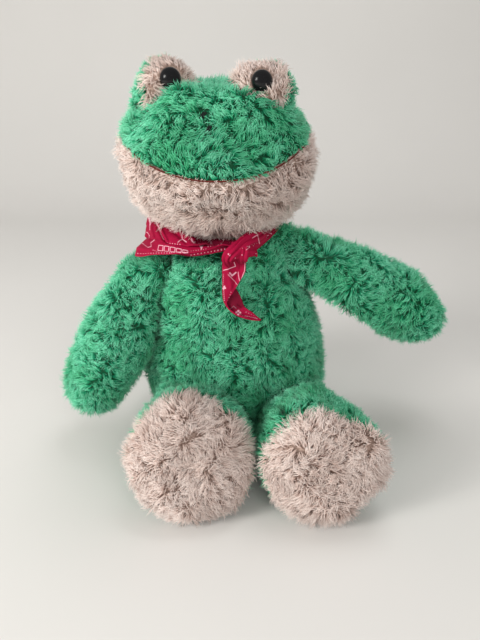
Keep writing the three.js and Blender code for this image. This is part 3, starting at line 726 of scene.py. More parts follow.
def add_fur(name, body, kind, surface, hold, density, length, seed, lean=None,
            width=0.34, spacing=9, messy=0.5, clump=0.42, curl=0.9):
    """Covers a surface with strands, as many pieces as its size asks for."""
    slot, material, _ = kind
    rng = np.random.default_rng(seed)
    points, triangles = surface
    count = int(areas(points, triangles).sum() * density * QUICK_SHARE)
    root, normal = roots_on(rng, points, triangles, count)
    share = hold(root)
    keep = share > 0.05
    root, normal, share = root[keep], normal[keep], share[keep]
    leaning = np.zeros_like(root) if lean is None else lean(root, normal)
    paths, side, other, tuft_tone_and_shade = strand_paths(
        rng, root, normal, length * share, leaning, spacing, messy, clump, curl)
    paths[..., 2] = np.maximum(paths[..., 2], PILE_FLOOR)
    width = width * QUICK_WIDTH * rng.uniform(0.75, 1.25, len(root))
    pieces = max(1, math.ceil(len(root) / FUR_PIECE_LIMIT))
    middle = root.mean(0)
    order = np.argsort(np.arctan2(root[:, 1] - middle[1], root[:, 0] - middle[0]))
    for i, chosen in enumerate(np.array_split(order, pieces)):
        piece = strand_mesh(f"{name}_{i + 1}", paths[chosen], side[chosen], other[chosen], normal[chosen],
                            width[chosen], tuft_tone_and_shade[chosen], material)
        belongs(piece, body, slot)


def add_skin(name, body, kind, meridians, *nodes):
    """A closed bag of backing cloth that the pile stands on. Gives its points and triangles."""
    slot, _, material = kind
    points, faces, triangles = closed_form(meridians)
    points[:, 2] = np.maximum(points[:, 2], SKIN_FLOOR)
    piece = new_mesh(name, points, faces, material)
    belongs(piece, body, slot, *nodes)
    return points, triangles


def side_only(surface, keep):
    """The triangles of a surface whose middles keep() wants."""
    points, triangles = surface
    return points, triangles[keep(points[triangles].mean(1))]


def combed(strength):
    """Pile that hangs a little, along the surface."""
    def lean(root, normal):
        return laid(np.tile([0.0, 0.0, -1.0], (len(root), 1)), normal) * strength
    return lean


# Each kind of plush: its slot, its pile and its backing
GREEN = ("plush_green", green_fur, green_back)
CREAM = ("plush_cream", cream_fur, cream_back)
# The lower edge of the band where the photograph shows it, in pixels
BAND_EDGE = [(137, 256), (171, 256.6), (201, 254), (217, 249.4), (234, 247)]
# How much of its length the torso's pile keeps under each arm
ARMPITS = {-1: 0.45, 1: 0.9}


def build_torso():
    form = grown(torso_meridians(96, 90), -PILE)
    # The right shoulder is fuller than the solid, and so is the left side low down
    right = np.maximum(form[..., 0] - form[..., 2] * LEAN, 0)
    high = smoothstep(form[..., 2], 200, 236) * (1 - smoothstep(form[..., 2], 243, 250))
    form[..., 0] += 0.62 * right * high * bell(form[..., 1], -8, 40)
    left = smoothstep(form[..., 2] * LEAN - form[..., 0], 55, 95)
    form[..., 0] -= 8 * left * smoothstep(form[..., 2], 8, 35) * (1 - smoothstep(form[..., 2], 100, 145))
    surface = add_skin("torso_skin", "torso", GREEN, form, "torso_plush", "torso_stuffing")

    def hold(root):
        under = 1 - smoothstep(np.hypot(root[:, 0] - NECK[0], root[:, 1] + 6), 50, 62)
        share = 1 - 0.8 * smoothstep(root[:, 2], 226, 238) * under
        seen = to_pixels(root)
        for start, end in zip(BAND_EDGE[:-1], BAND_EDGE[1:]):
            share *= 1 - 0.6 * nearness(seen, start, end, 2.6) * (root[:, 1] < -30)
        for side, pressed in ARMPITS.items():
            turn, pivot = arm_frame(side)
            share *= smoothstep(distance(root, pivot), 22, 31)
            along = np.clip((root - pivot) @ turn[:, 2], 0, 100)
            middle = along[:, None] * turn[:, 2]
            beside = np.linalg.norm(root - pivot - middle, axis=1) - ARM_ROOT * (1 + 0.003 * along)
            share *= pressed + (1 - pressed) * smoothstep(beside, -4, 9)
            share *= smoothstep(distance(root, hip(side)), 32, 42)
        return share * smoothstep(root[:, 2], 1, 9)
    add_fur("torso_fur", "torso", GREEN, surface, hold,
            density=0.6, length=11, seed=11, lean=combed(0.25))


def head_share(points, inside):
    """1 on the skin of a head that is smaller by inside, less within it."""
    return (np.abs((points - HEAD) / (HEAD_SIZE - inside)) ** 2.3).sum(1)


def build_head():
    form = head_backing()
    crown = part_of(form, above_mouth, 44)
    jaw = part_of(form, lambda p: -above_mouth(p), 44)
    top = add_skin("head_crown_skin", "head", GREEN, crown, "head_crown", "head_stuffing")
    low = add_skin("head_jaw_skin", "head", CREAM, jaw, "head_jaw")

    def outer(middle):
        return head_share(middle, HEAD_PILE) > 0.86

    def crown_hold(root):
        share = 0.72 + 0.28 * smoothstep(above_mouth(root), 1, 9)
        for side in (-1, 1):
            scaled = (root - mound_centre(side)) / (MOUND_SIZE[side] - PILE)
            share *= smoothstep(np.linalg.norm(scaled, axis=1), 0.8, 1.05)
        for across, down, _ in NOSTRILS.values():
            away = np.linalg.norm((to_pixels(root) - (across, down - 1.5)) * (1, 0.8), axis=1)
            share *= 0.15 + 0.85 * smoothstep(away, 2.6, 6.5)
        return share

    def cheek(root):
        return smoothstep(np.abs(root[:, 0] - HEAD[0]), 66, 84) * smoothstep(root[:, 2], 310, 328)

    def jaw_hold(root):
        share = 0.36 + 0.64 * smoothstep(-above_mouth(root), 1, 14)
        share *= 1 - 0.3 * smoothstep(np.abs(root[:, 0] - HEAD[0]), 58, 84)
        share = share * (1 - cheek(root)) + 0.95 * cheek(root)
        return share * smoothstep(distance(root, NECK), 40, 46)

    def jaw_lean(root, normal):
        away = laid(root - (HEAD + [0, 0, 20]), normal)
        up = cheek(root)[:, None]
        return unit(away) * 0.6 * (1 - up) + np.array([0, 0, 0.5]) * up

    add_fur("head_crown_fur", "head", GREEN, side_only(top, outer), crown_hold,
            density=0.65, length=10, seed=21, lean=combed(0.28), spacing=11, messy=0.42, clump=0.54)
    add_fur("head_jaw_fur", "head", CREAM, side_only(low, outer), jaw_hold,
            density=0.66, length=12, seed=22, lean=jaw_lean,
            width=0.4, spacing=12, messy=0.55, clump=0.46)


def build_mound(side, label):
    form = grown(mound_meridians(side, 56, 60), -MOUND_PILE)
    front = part_of(form, lambda p: before_split(side, p), 34)
    back = part_of(form, lambda p: -before_split(side, p), 24)
    patch = add_skin(f"eye_patch_skin_{label}", "head", CREAM, front, f"eye_patch_{label}")
    mound = add_skin(f"eye_mound_skin_{label}", "head", GREEN, back, f"eye_mound_{label}")
    centre, eye = mound_centre(side), eye_place(side)

    def outer(middle):
        return (((middle - centre) / (MOUND_SIZE[side] - MOUND_PILE)) ** 2).sum(1) > 0.82

    def above_head(root):
        return smoothstep(head_share(root, PILE), 0.9, 1.05)

    def from_place(root, place):
        return np.hypot(root[:, 0] - place[0], root[:, 2] - place[2])

    def over_eye(root):
        return bell(from_place(root, eye + np.array([side * 8, 0, -7])), 0, 4.5)

    def patch_hold(root):
        off = from_place(root, eye)
        in_front = root[:, 1] < centre[1]
        share = 0.6 + 0.5 * smoothstep(off, 10, 18) + 0.4 * over_eye(root)
        return above_head(root) * np.where((off < 8.8) & in_front, 0, share)

    def patch_lean(root, normal):
        far = smoothstep(distance(root, eye), 9, 20)
        return unit(laid(root - eye, normal)) * (0.1 + 0.5 * far - 0.7 * over_eye(root))[:, None]

    add_fur(f"eye_patch_fur_{label}", "head", CREAM, side_only(patch, outer), patch_hold,
            density=0.9, length=9.5, seed=31 + side, lean=patch_lean)
    add_fur(f"eye_mound_fur_{label}", "head", GREEN, side_only(mound, outer), above_head,
            density=0.7, length=7, seed=34 + side)


def build_arm(side, label, seed, bend, length_share, slim, low_shoulder, fuller_at, reach):
    form, pivot = arm_form(side, bend, length_share, slim)
    away = np.linalg.norm(form - pivot, axis=2, keepdims=True)
    least, most, middle, spread = fuller_at
    form = grown(form, least + most * bell(away, middle, spread))
    over = np.maximum(form[..., 2] - SHOULDER_TOP, 0)
    form[..., 2] -= low_shoulder * over ** 2 / (over + 4)
    form = kept_off_torso(form, pivot, Vector((0, -side, 0)), reach, 7, ARM_ROOT)
    body = f"arm_{label}"
    surface = add_skin(f"arm_skin_{label}", body, GREEN, form, body, f"arm_stuffing_{label}")

    def hold(root):
        share = torso_share(root)[0]
        return smoothstep(share, 0.86, 0.98) * (0.5 + 0.5 * smoothstep(share, 0.98, 1.14))
    add_fur(f"arm_fur_{label}", body, GREEN, surface, hold,
            density=0.6, length=11, seed=seed, lean=combed(0.15))


def build_leg(side, label, seed):
    form, place, face = leg_form(side, **LEGS[side])
    place = place - face * LEG_PILE
    form = kept_off_torso(grown(form, -LEG_PILE), hip(side), Vector((-1, 0, 0)), LEG_REACH, 5, LEG_ROOT)

    def past_seam(points):
        return (points - place) @ face

    upper = part_of(form, lambda p: -past_seam(p), 60)
    sole = part_of(form, past_seam, 26)
    body = f"leg_{label}"
    leg = add_skin(f"leg_skin_{label}", body, GREEN, upper, body, f"leg_stuffing_{label}")
    pad = add_skin(f"sole_skin_{label}", body, CREAM, sole, f"sole_{label}")
    middle = sole[:, -1].mean(0)

    def leg_hold(root):
        free = smoothstep(torso_share(root)[0], 0.86, 0.98) * np.where(past_seam(root) > -0.5, 0, 1)
        return free * (0.35 + 0.65 * smoothstep(root[:, 2], 0.5, 8))

    def sole_hold(root):
        return np.where(past_seam(root) < 0.5, 0, 1) * (0.4 + 0.6 * smoothstep(root[:, 2], 0.5, 8))

    def sole_lean(root, normal):
        away = laid(root - middle, normal)
        return unit(away) * (0.7 * smoothstep(np.linalg.norm(away, axis=1), 20, 58))[:, None]

    add_fur(f"leg_fur_{label}", body, GREEN, leg, leg_hold,
            density=0.55, length=10, seed=seed, lean=combed(0.15))
    add_fur(f"sole_fur_{label}", body, CREAM, pad, sole_hold,
            density=0.85, length=12.5, seed=seed + 1, lean=sole_lean,
            width=0.42, spacing=13, messy=0.4, clump=0.4, curl=1.2)


# Eyes, mouth and nostrils

# The eye's dome, how high its rim lifts it, and the shank behind it
EYE_RADIUS, DOME_RISE, RIM_RISE = 9, 7, 1.5
SHANK_RADIUS, SHANK_LENGTH = 2.5, 17


def build_eye(side, label):
    """A glossy dome with a fine rolled rim, on its shank."""
    turn = np.linspace(0, np.pi / 2, 16)
    dome = np.stack([EYE_RADIUS * np.cos(turn), RIM_RISE + DOME_RISE * np.sin(turn)], 1)
    shank = [(0, -SHANK_LENGTH), (SHANK_RADIUS, -SHANK_LENGTH), (SHANK_RADIUS, -0.2)]
    profile = np.vstack([shank, [(8.2, 0), (8.8, 0.4), (9.05, 1.0)], dome])
    profile[-1, 0] = 0
    form = revolved(profile, 64)
    form = np.stack([form[..., 0], -form[..., 2], form[..., 1]], 2) + eye_place(side)
    points, faces, _ = closed_form(form)
    belongs(new_mesh(f"eye_dome_{label}", points, faces, eye_black), "head", "black_plastic", f"eye_{label}")


def tube(name, line, radius, material, sides=6):
    """A closed round cord along a line."""
    way = unit(np.gradient(line, axis=0))
    side = unit(np.cross(way, (0.02, 0.1, 1)))
    other = np.cross(way, side)
    angle = np.linspace(0, 2 * np.pi, sides, endpoint=False)[:, None, None]
    ring = np.cos(angle) * side[None] + np.sin(angle) * other[None]
    points, faces, _ = closed_form(line[None] + radius * ring)
    return new_mesh(name, points, faces, material)


# The mouth's cord: how far round the front it goes, how it stands off, its strands' radius and their turns
MOUTH_REACH = math.radians(72)
CORD_LIFT, STRAND_RADIUS, STRAND_OFFSET, CORD_TURNS = 4.3, 0.44, 0.36, 75


def build_mouth():
    """A cord twisted from two thin strands, laid in the seam between crown and jaw."""
    form = grown(head_meridians(240, 160), -PILE)
    edge = part_of(form, above_mouth, 40)[:, -1]
    turn = np.arctan2(edge[:, 1] - HEAD[1], edge[:, 0] - HEAD[0])
    front = np.abs(turn + np.pi / 2) < MOUTH_REACH
    edge = edge[front][np.argsort(turn[front])]
    edge = resampled(edge + unit((edge - HEAD) * (1, 1, 0.3)) * CORD_LIFT, 420)
    away = unit((edge - HEAD) * (1, 1, 0.3))
    up = unit(np.cross(np.gradient(edge, axis=0), away))
    phase = np.linspace(0, 2 * CORD_TURNS * np.pi, len(edge))[:, None]
    for k in range(2):
        offset = STRAND_OFFSET * (np.cos(phase + k * np.pi) * away + np.sin(phase + k * np.pi) * up)
        strand = tube(f"mouth_cord_strand_{k + 1}", edge + offset, STRAND_RADIUS, cord_red)
        belongs(strand, "head", "mouth_cord", "mouth_cord")


def on_head(skin, across, down, lift):
    """The point before the skin of the head, by a length, that the photograph shows at a pixel."""
    way = Vector(at_pixel(across, down, 0) - CAMERA_PLACE).normalized()
    hit = skin.ray_cast(Vector(CAMERA_PLACE), way)[0]
    return np.array(hit) - np.array([0, 1, 0]) * lift


# How many stitches a nostril has, and the radius of their thread
STITCHES, STITCH_RADIUS = 6, 0.7


def build_nostrils():
    """A few satin stitches of dark thread each, half lost in the pile."""
    points, faces, _ = closed_form(head_backing())
    skin = BVHTree.FromPolygons([tuple(p) for p in points], faces)
    share = np.linspace(0, 1, 9)[:, None]
    for seed, (label, (across, down, lift)) in enumerate(NOSTRILS.items(), 71):
        rng = np.random.default_rng(seed)
        for k in range(STITCHES):
            start = on_head(skin, across + 0.4 + k * 0.6, down - 3.6 + rng.normal() * 0.4, lift + 0.5)
            end = on_head(skin, across - 3.6 + k * 0.65, down + 3.2 + rng.normal() * 0.7, lift - 0.5)
            line = start * (1 - share) + end * share + np.array([0, -1.5, 0.6]) * np.sin(share * np.pi)
            stitch = tube(f"nostril_stitch_{label}_{k + 1}", line, STITCH_RADIUS, dark_thread)
            belongs(stitch, "head", "dark_thread", f"nostril_{label}")


# Bandana. The prints are placed in the photograph's pixels where it shows them

def stroke(size, *places):
    return "line", places, size


def spots(size, *places):
    return "dots", places, size


def dotted(start, end, count, size):
    share = np.linspace(0, 1, count)[:, None]
    return spots(size, *(np.array(start) * (1 - share) + np.array(end) * share))


def box(across, down, wide, tall, turn):
    """The outline of a small square that is turned by some degrees."""
    cos, sin = math.cos(math.radians(turn)), math.sin(math.radians(turn))
    places = []
    for x, y in ((-1, -1), (1, -1), (1, 1), (-1, 1), (-1, -1)):
        x, y = x * wide / 2, y * tall / 2
        places.append((across + x * cos - y * sin, down + x * sin + y * cos))
    return stroke(0.85, *places)


def covered(places, shapes):
    """How much of each place the drawn shapes cover, 0 to 1. Every shape is its kind, points and size."""
    cover = np.zeros(len(places))
    for kind, corners, size in shapes:
        corners = np.asarray(corners, float)
        if kind == "line":
            gap = np.full(len(places), np.inf)
            for a, b in zip(corners[:-1], corners[1:]):
                way = b - a
                t = np.clip(((places - a) @ way) / max(way @ way, 1e-9), 0, 1)[:, None]
                gap = np.minimum(gap, np.linalg.norm(places - a - t * way, axis=1))
            gap -= size / 2
        elif kind == "dots":
            gap = np.min([distance(places, c) for c in corners], 0) - size
        else:
            across = (np.roll(corners, -1, 0) - corners)[:, None]
            rise = places[None] - corners[:, None]
            turn = across[..., 0] * rise[..., 1] - across[..., 1] * rise[..., 0]
            gap = -np.min(turn / np.linalg.norm(across, axis=2), 0)
        cover = np.maximum(cover, np.clip(0.5 - (gap + 0.08) / 3, 0, 1))
    return cover


# What is printed on the band's three layers at the left, from above, then at its right, on the knot and on
# the hanging end
LAYER_A_PRINT = [
    stroke(0.9, (182, 233), (182.5, 238.5), (178, 242.5)), stroke(0.9, (182.5, 238.5), (187, 241.5)),
    stroke(1.4, (191, 239.5), (193, 242)), stroke(1.2, (196, 240), (194, 243)),
    stroke(1.5, (200, 239), (203, 242), (206, 239.5)), stroke(1.1, (149.5, 218), (151, 224), (150.5, 230)),
    stroke(1.0, (153, 220), (162.5, 238.5)), stroke(0.8, (155, 219), (160, 228), (162, 233)),
    stroke(0.8, (146, 232), (149, 235), (148, 239)), stroke(0.9, (168, 228), (171, 232), (175, 231)),
    stroke(1.2, (211, 239), (216, 242)), stroke(0.9, (221, 240), (225, 241.5)),
    dotted((150, 241), (180, 244.2), 13, 0.45),
]
LAYER_B_PRINT = [
    box(160.6, 248, 4.8, 5.2, 10), box(166.7, 249, 4.6, 5.0, 10), box(172.7, 250, 4.6, 4.6, 9),
    box(178.8, 250.8, 4.8, 4.0, 8), box(185.2, 251.4, 5.2, 3.2, 4),
    stroke(0.8, (141.7, 243), (148, 247.6), (151, 246.6), (150.4, 242.4), (154.5, 239.6)),
    ("fill", [(198.4, 245), (204, 245), (201.4, 250.2)], 0), dotted((153, 250), (158, 252), 4, 0.5),
    dotted((138, 253.6), (170, 253.4), 13, 0.55), dotted((172, 253.2), (206, 249.2), 15, 0.5),
    dotted((208, 247.4), (226, 244.6), 8, 0.5),
]
LAYER_C_PRINT = [dotted((188, 255), (228, 248.8), 13, 0.6)]
RIGHT_PRINT = [
    stroke(0.9, (252.4, 238), (257.6, 234.8), (259.6, 243.6)), dotted((240, 249), (259, 242.4), 9, 0.55),
    stroke(0.9, (262, 232), (266, 238)), stroke(0.8, (268, 231), (272, 235)),
    stroke(0.8, (246, 236), (250, 240)), dotted((262, 240), (273, 232), 6, 0.5),
]
KNOT_PRINT = [
    stroke(0.9, (252.4, 238), (257.6, 234.8), (259.6, 243.6)), dotted((240, 249), (259, 242.4), 9, 0.45),
    stroke(0.7, (246, 250), (250, 247)), spots(1.0, (228.6, 254), (230, 255.2)),
    spots(0.6, (249, 246.4), (253.4, 245.6), (242, 255), (235.4, 258)),
]
TAIL_PRINT = [
    stroke(0.9, (223.6, 270.2), (235.6, 266.2), (234.1, 262.2)), stroke(0.8, (228, 273.9), (237.4, 284.8)),
    stroke(1.5, (229.6, 272.6), (232, 275.6), (235.8, 272.4)), stroke(0.8, (238.2, 272), (239.6, 281)),
    stroke(0.7, (245, 263), (244.6, 271), (241.5, 278.5)), stroke(0.8, (244, 258), (241.5, 262.5)),
    spots(1.0, (224.4, 286.4), (225.2, 288), (223.6, 288.4)), spots(1.3, (229, 256.4), (231, 258)),
    dotted((223.6, 274), (223.4, 284), 6, 0.45), dotted((223.8, 290), (224.4, 300), 6, 0.5),
    spots(1.15, (238.2, 310.6), (240, 312.4), (238.4, 314), (236.4, 312.2)),
    stroke(0.7, (230.5, 308.8), (233.4, 305.8), (236, 308)), dotted((241, 314.4), (257, 318.6), 9, 0.5),
    dotted((246, 312), (254, 315.6), 4, 0.45), dotted((231, 292), (228, 300), 4, 0.45),
]


def plain_print(along, across, wide):
    """The print where no photograph shows it, in millimetres: dotted borders, chevrons and small squares."""
    cell, aside = 15.0, (across % 14.0) - 7
    row = (along % cell) - cell / 2
    edge = np.minimum(np.abs(across - 2.2), np.abs(wide - across - 2.2))
    dots = np.hypot((along % 3.0) - 1.5, edge) - 0.55
    chevron = np.abs(np.abs(row) * 0.9 + aside - 1.0) - 0.4 + 10 * (np.abs(row) > 4.5)
    other = ((along + cell / 2) % cell) - cell / 2
    square = np.abs(np.maximum(np.abs(other), np.abs(aside)) - 2.0) - 0.35
    gap = np.minimum(np.minimum(dots, chevron), square)
    return np.clip(0.5 - gap / 3, 0, 1)


def cloth_normal(grid):
    return unit(np.cross(np.gradient(grid, axis=1), np.gradient(grid, axis=0)))


def cloth_slab(name, grid, mask, back_and_shade=(0.0, 1.0), thick=0.7):
    """A sheet of cloth of a real thickness from a grid of points. back_and_shade is how much of the darker
    back colour, partly painted shade, its two faces get.
    """
    rows, columns = grid.shape[:2]
    normal = cloth_normal(grid)
    front = (grid + normal * thick / 2).reshape(-1, 3)
    behind = (grid - normal * thick / 2).reshape(-1, 3)
    n = rows * columns
    i = np.arange(n).reshape(rows, columns)
    a, b, c, d = i[:-1, :-1].ravel(), i[:-1, 1:].ravel(), i[1:, 1:].ravel(), i[1:, :-1].ravel()
    quads = [np.stack([a, b, c, d], 1), np.stack([d, c, b, a], 1) + n]
    for line in (i[0], i[:, -1], i[-1, ::-1], i[::-1, 0]):
        quads.append(np.stack([line[:-1] + n, line[1:] + n, line[1:], line[:-1]], 1))
    piece = new_mesh(name, np.vstack([front, behind]), np.concatenate(quads), printed_cotton)
    set_values(piece.data, "print", np.tile(mask.ravel(), 2))
    set_values(piece.data, "back", np.concatenate([np.broadcast_to(face, n) for face in back_and_shade]))
    return piece


# The rails that the band's folds follow. Each is a closed ring from the knot round the neck: what the
# photograph shows at the left, as (pixel across, pixel down, depth), then the hidden points, then the right
RAIL_TOP = (
    [(243, 243, -68), (238, 240, -58), (225, 238.5, -53), (210, 237.5, -52), (196, 235, -54),
     (182, 229, -57), (168, 224, -50), (156, 219, -33), (148, 216.5, -4)],
    [(-80, 8, 253), (-52, 25, 250), (-18, 31, 249), (15, 25, 251), (34, 8, 256)],
    [(272, 227, -20), (262, 228.5, -44), (252, 229.5, -58), (244, 236, -66), (237, 246, -70)],
)
RAIL_A = (
    [(243, 245.5, -75), (238, 244, -74), (225, 244.2, -76), (210, 244.4, -77), (196, 244.8, -78),
     (184, 245.2, -77), (170, 243.4, -74), (154.5, 239.8, -62), (145, 236, -26)],
    [(-87, 9, 243), (-57, 31, 239), (-18, 38, 238), (20, 30, 242), (39, 8, 249)],
    [(271, 234.5, -30), (266, 240, -50), (259.5, 246.5, -64), (253, 249.5, -68), (243, 251, -72)],
)
RAIL_B = (
    [(243, 247, -76), (238, 245, -76), (225, 245.6, -77), (211.6, 249.2, -79), (201, 251.6, -81),
     (187, 253.3, -81), (170.8, 254.6, -79), (152, 255.2, -69), (134.6, 255, -46)],
    [(-93, 5, 234), (-62, 35, 230), (-18, 43, 229), (24, 34, 236), (42, 7, 246)],
    [(270.5, 236.5, -34), (265, 242, -52), (258, 248, -65), (251, 250.5, -68), (242, 251.5, -71)],
)
RAIL_C = (
    [(243, 249, -74), (238, 247.6, -72), (227, 249.6, -73), (216.7, 252.4, -74), (205.5, 254.8, -75),
     (190, 256, -75), (172, 254, -72), (155, 253.4, -60), (142, 252.2, -38)],
    [(-88, 5, 233), (-59, 32, 230), (-18, 40, 230), (21, 31, 236), (39, 7, 245)],
    [(268, 238, -32), (263, 243, -50), (256, 248.5, -62), (249, 250, -66), (240, 251, -69)],
)
# Stations of a rail: where its left part ends, up to where the photograph shows its print, where it bends
# round to the back, and where its right part starts. Then the columns of the band's grid in each part
LEFT_END, LEFT_SHOWN, LEFT_BEND, RIGHT_START = 9, 8.1, 8, 13.5
LEFT_COLUMNS, BACK_COLUMNS, RIGHT_COLUMNS = 250, 50, 90
# Where the upper layer turns its duller back out, in pixels across; it is darker there also as painted shade
# under the chin
TURNED_IN_SHADE = (188, 206)
# Creases of the band where the photograph shows them: start, end, width and depth, in pixels
CREASES = [
    ((149.5, 218), (154, 238), 1.2, 1.5), ((152.5, 218), (164.5, 241), 1.4, -2.8),
    ((157, 221), (167, 241), 1.3, 1.8), ((147, 226), (147, 238), 1.2, -1.2),
    ((170, 228), (188, 244), 2.0, -1.0), ((186, 236), (206, 244), 1.6, 1.4),
    ((198, 240), (238, 243), 2.4, -7.0), ((137, 247), (150, 251), 1.6, 0.8),
    ((140, 251), (190, 250.4), 1.4, -0.7), ((196, 249), (232, 244.6), 1.2, 1.0),
    ((272, 230), (250, 240), 1.3, -2.4), ((266, 238), (246, 249), 1.3, 1.8),
    ((258, 231), (240, 247), 1.2, -2.8), ((250, 233), (238, 245), 1.2, 1.8),
    ((268, 236), (252, 247), 1.0, -2.2),
]


def rail_curve(left, hidden, right):
    """A smooth open curve through a rail's stations, with finer steps where it faces the camera."""
    points = [at_pixel(*p) for p in left] + hidden + [at_pixel(*p) for p in right]
    last = len(points) - 1
    fine = spline(points, 1500)
    want = np.concatenate([
        np.linspace(0, LEFT_END, LEFT_COLUMNS, endpoint=False),
        np.linspace(LEFT_END, RIGHT_START, BACK_COLUMNS, endpoint=False),
        np.linspace(RIGHT_START, last, RIGHT_COLUMNS),
    ])
    return np.stack([np.interp(want, np.linspace(0, last, 1501), fine[:, k]) for k in range(3)], 1)


def folded_band(top, low_a, low_b, low_c):
    """The band's grid of points, row by row over its three layers and their tucks, and each row's layer."""
    up = np.array([0, 0, 1.0])
    corner = bell(np.arange(len(top)), LEFT_COLUMNS * LEFT_BEND / LEFT_END, 26)[:, None]
    tuck_a = low_a * 0.55 + top * 0.45 - up * 2.4 + corner * (7, 0, 0)
    tuck_b = low_b * 0.6 + tuck_a * 0.4 - up * 2.2
    inner = low_c * 0.6 + tuck_b * 0.4 - up * 1.5
    lines = [top, low_a, tuck_a, low_b, tuck_b, low_c, inner]
    rows, layer = [], []
    for k, count in enumerate([40, 6, 42, 6, 14, 8]):
        share = np.linspace(0, 1, count, endpoint=False)[:, None, None]
        if k % 2 == 0:
            share = 1 - (1 - share) ** 1.2
        rows.append(lines[k][None] * (1 - share) + lines[k + 1][None] * share)
        if k == 2:
            rows[-1][..., :1] -= 1.5 * np.sin(np.pi * smoothstep(share, 0.4, 1.0)) * corner[None]
        layer += [k] * count
    rows.append(inner[None])
    grid = np.concatenate(rows)
    for _ in range(2):
        grid[1:-1] = (grid[:-2] + 2 * grid[1:-1] + grid[2:]) / 4
    return grid, np.array(layer + [6])[:, None]


def build_band():
    """One strip, folded lengthwise into three layers that overlap downwards, and gathered at both ends."""
    top, low_a, low_b, low_c = (rail_curve(*rail) for rail in (RAIL_TOP, RAIL_A, RAIL_B, RAIL_C))
    grid, layer = folded_band(top, low_a, low_b, low_c)
    shape = grid.shape[:2]
    view = to_pixels(grid.reshape(-1, 3))
    column = np.broadcast_to(np.arange(shape[1]), shape)
    right = column >= LEFT_COLUMNS + BACK_COLUMNS
    along = np.concatenate([[0], np.cumsum(np.linalg.norm(np.diff(low_b, axis=0), axis=1))])
    gather = np.exp(-along / 22) + np.exp(-(along[-1] - along) / 18)
    s, c = along[None], np.arange(shape[0])[:, None]
    ripple = 0.8 * np.sin(s / 9.5 + 0.8 * np.sin(c / 9)) + 0.45 * np.sin(s / 4.1 + c / 7 + 2 * np.sin(s / 23))
    folds = 0.9 * gather * np.sin(c / 2.6 + 1.2 * np.sin(s / 17)) + 0.35 * np.sin(c / 4.5 + s / 30)
    depth = 0.5 * ripple + folds
    for start, end, width, deep in CREASES:
        depth += deep * nearness(view, start, end, width).reshape(shape) * ((column < LEFT_COLUMNS) | right)
    grid += cloth_normal(np.stack([top, low_a]))[0][None] * depth[..., None]

    fall = np.concatenate([[0], np.cumsum(np.linalg.norm(np.diff(grid, axis=0), axis=2).mean(1))])
    mask = plain_print(np.broadcast_to(s, shape), np.broadcast_to(fall[:, None], shape), fall[-1])
    view = view.reshape(*shape, 2)
    left = column < LEFT_COLUMNS * LEFT_SHOWN / LEFT_END
    shown = [(left & (layer == number), shapes)
             for number, shapes in ((0, LAYER_A_PRINT), (2, LAYER_B_PRINT), (4, LAYER_C_PRINT))]
    for here, shapes in shown + [(right & (layer <= 2), RIGHT_PRINT)]:
        mask[here] = covered(view[here], shapes)
    mask[(left | right) & (layer % 2 == 1)] = 0
    # Under the chin the upper layer gets the back colour: partly its turned-out back, partly painted shade
    # cast by the chin
    turned_in_shade = (left & (layer <= 1)) * smoothstep(view[..., 0], *TURNED_IN_SHADE)
    piece = cloth_slab("bandana_band", grid, mask, (turned_in_shade.ravel(), 1.0))
    belongs(piece, "torso", "printed_cotton", "bandana")


# Each bunch of the knot: its route as (pixel across, pixel down, depth), its radii and its number of folds
KNOT_BUNCHES = {
    "bandana_knot": (
        [(264, 234, -48), (256, 238, -62), (247, 243.5, -74), (238, 249.5, -81), (230.5, 254.5, -84),
         (227, 260, -81), (229, 266, -76)],
        [4, 7.4, 8.6, 8.0, 7.0, 5.6, 2.6], 7,
    ),
    "bandana_knot_under": (
        [(232, 244.6, -73), (240, 247.6, -77), (248, 251.6, -80), (254.6, 253.4, -78)], [3, 5.6, 5.6, 2.6], 4,
    ),
    "bandana_knot_wrap": (
        [(242, 244, -75), (244.4, 250, -82), (243.4, 256.6, -82), (240.4, 262, -76)], [3, 5.2, 5.4, 2.6], 5,
    ),
}


def build_bunch(name, route, radii, folds):
    """Cloth bunched along a route, with folds that run along it."""
    line = resampled(spline([at_pixel(*p) for p in route], 200), 80)
    share = np.linspace(0, 1, len(line))[None]
    radius = np.interp(share, np.linspace(0, 1, len(radii)), radii)
    way = unit(np.gradient(line, axis=0))
    side = unit(np.cross(way, (0, -1, 0.2)))
    other = np.cross(way, side)
    angle = np.linspace(0, 2 * np.pi, 110, endpoint=False)[:, None]
    turn = angle + 1.1 * share + 0.25 * np.sin(9 * share)
    lobes = 0.62 + 0.42 * np.abs(np.sin(folds * turn / 2)) ** 0.7
    lobes += 0.05 * np.sin((folds + 4) * turn + 11 * share)
    angle = angle[..., None]
    ring = np.cos(angle) * side[None] + 0.8 * np.sin(angle) * other[None]
    points, faces, _ = closed_form(line[None] + (radius * lobes)[..., None] * ring)
    bunch = new_mesh(name, points, faces, printed_cotton)
    set_values(bunch.data, "print", covered(to_pixels(points), KNOT_PRINT))
    return bunch


# The short end, as (pixel across, pixel down, depth), and its print
SHORT_END = (250, 248, -73), (257, 256.6, -79)
SHORT_END_PRINT = [dotted((252, 256), (257.5, 253), 5, 0.5)]


def build_knot():
    """The bunches of the knot and the short end that sticks out of it."""
    for name, (route, radii, folds) in KNOT_BUNCHES.items():
        belongs(build_bunch(name, route, radii, folds), "torso", "printed_cotton", "bandana")
    share = np.linspace(0, 1, 26)[:, None]
    width = np.linspace(1, -1, 22)[None]
    start, end = (at_pixel(*p) for p in SHORT_END)
    line = start * (1 - share) + end * share
    spread = (5.5 * (1 - share ** 1.6) + 0.3)[..., None] * width[..., None]
    grid = line[:, None] + spread * np.array([0.8, -0.25, 0.5])
    grid[..., 1] -= 2.2 * np.cos(width * 2.4) * (1 - share) + 0.8 * np.sin(share * 9 + width * 2)
    mask = covered(to_pixels(grid.reshape(-1, 3)), SHORT_END_PRINT)
    piece = cloth_slab("bandana_short_end", grid, mask)
    belongs(piece, "torso", "printed_cotton", "bandana")


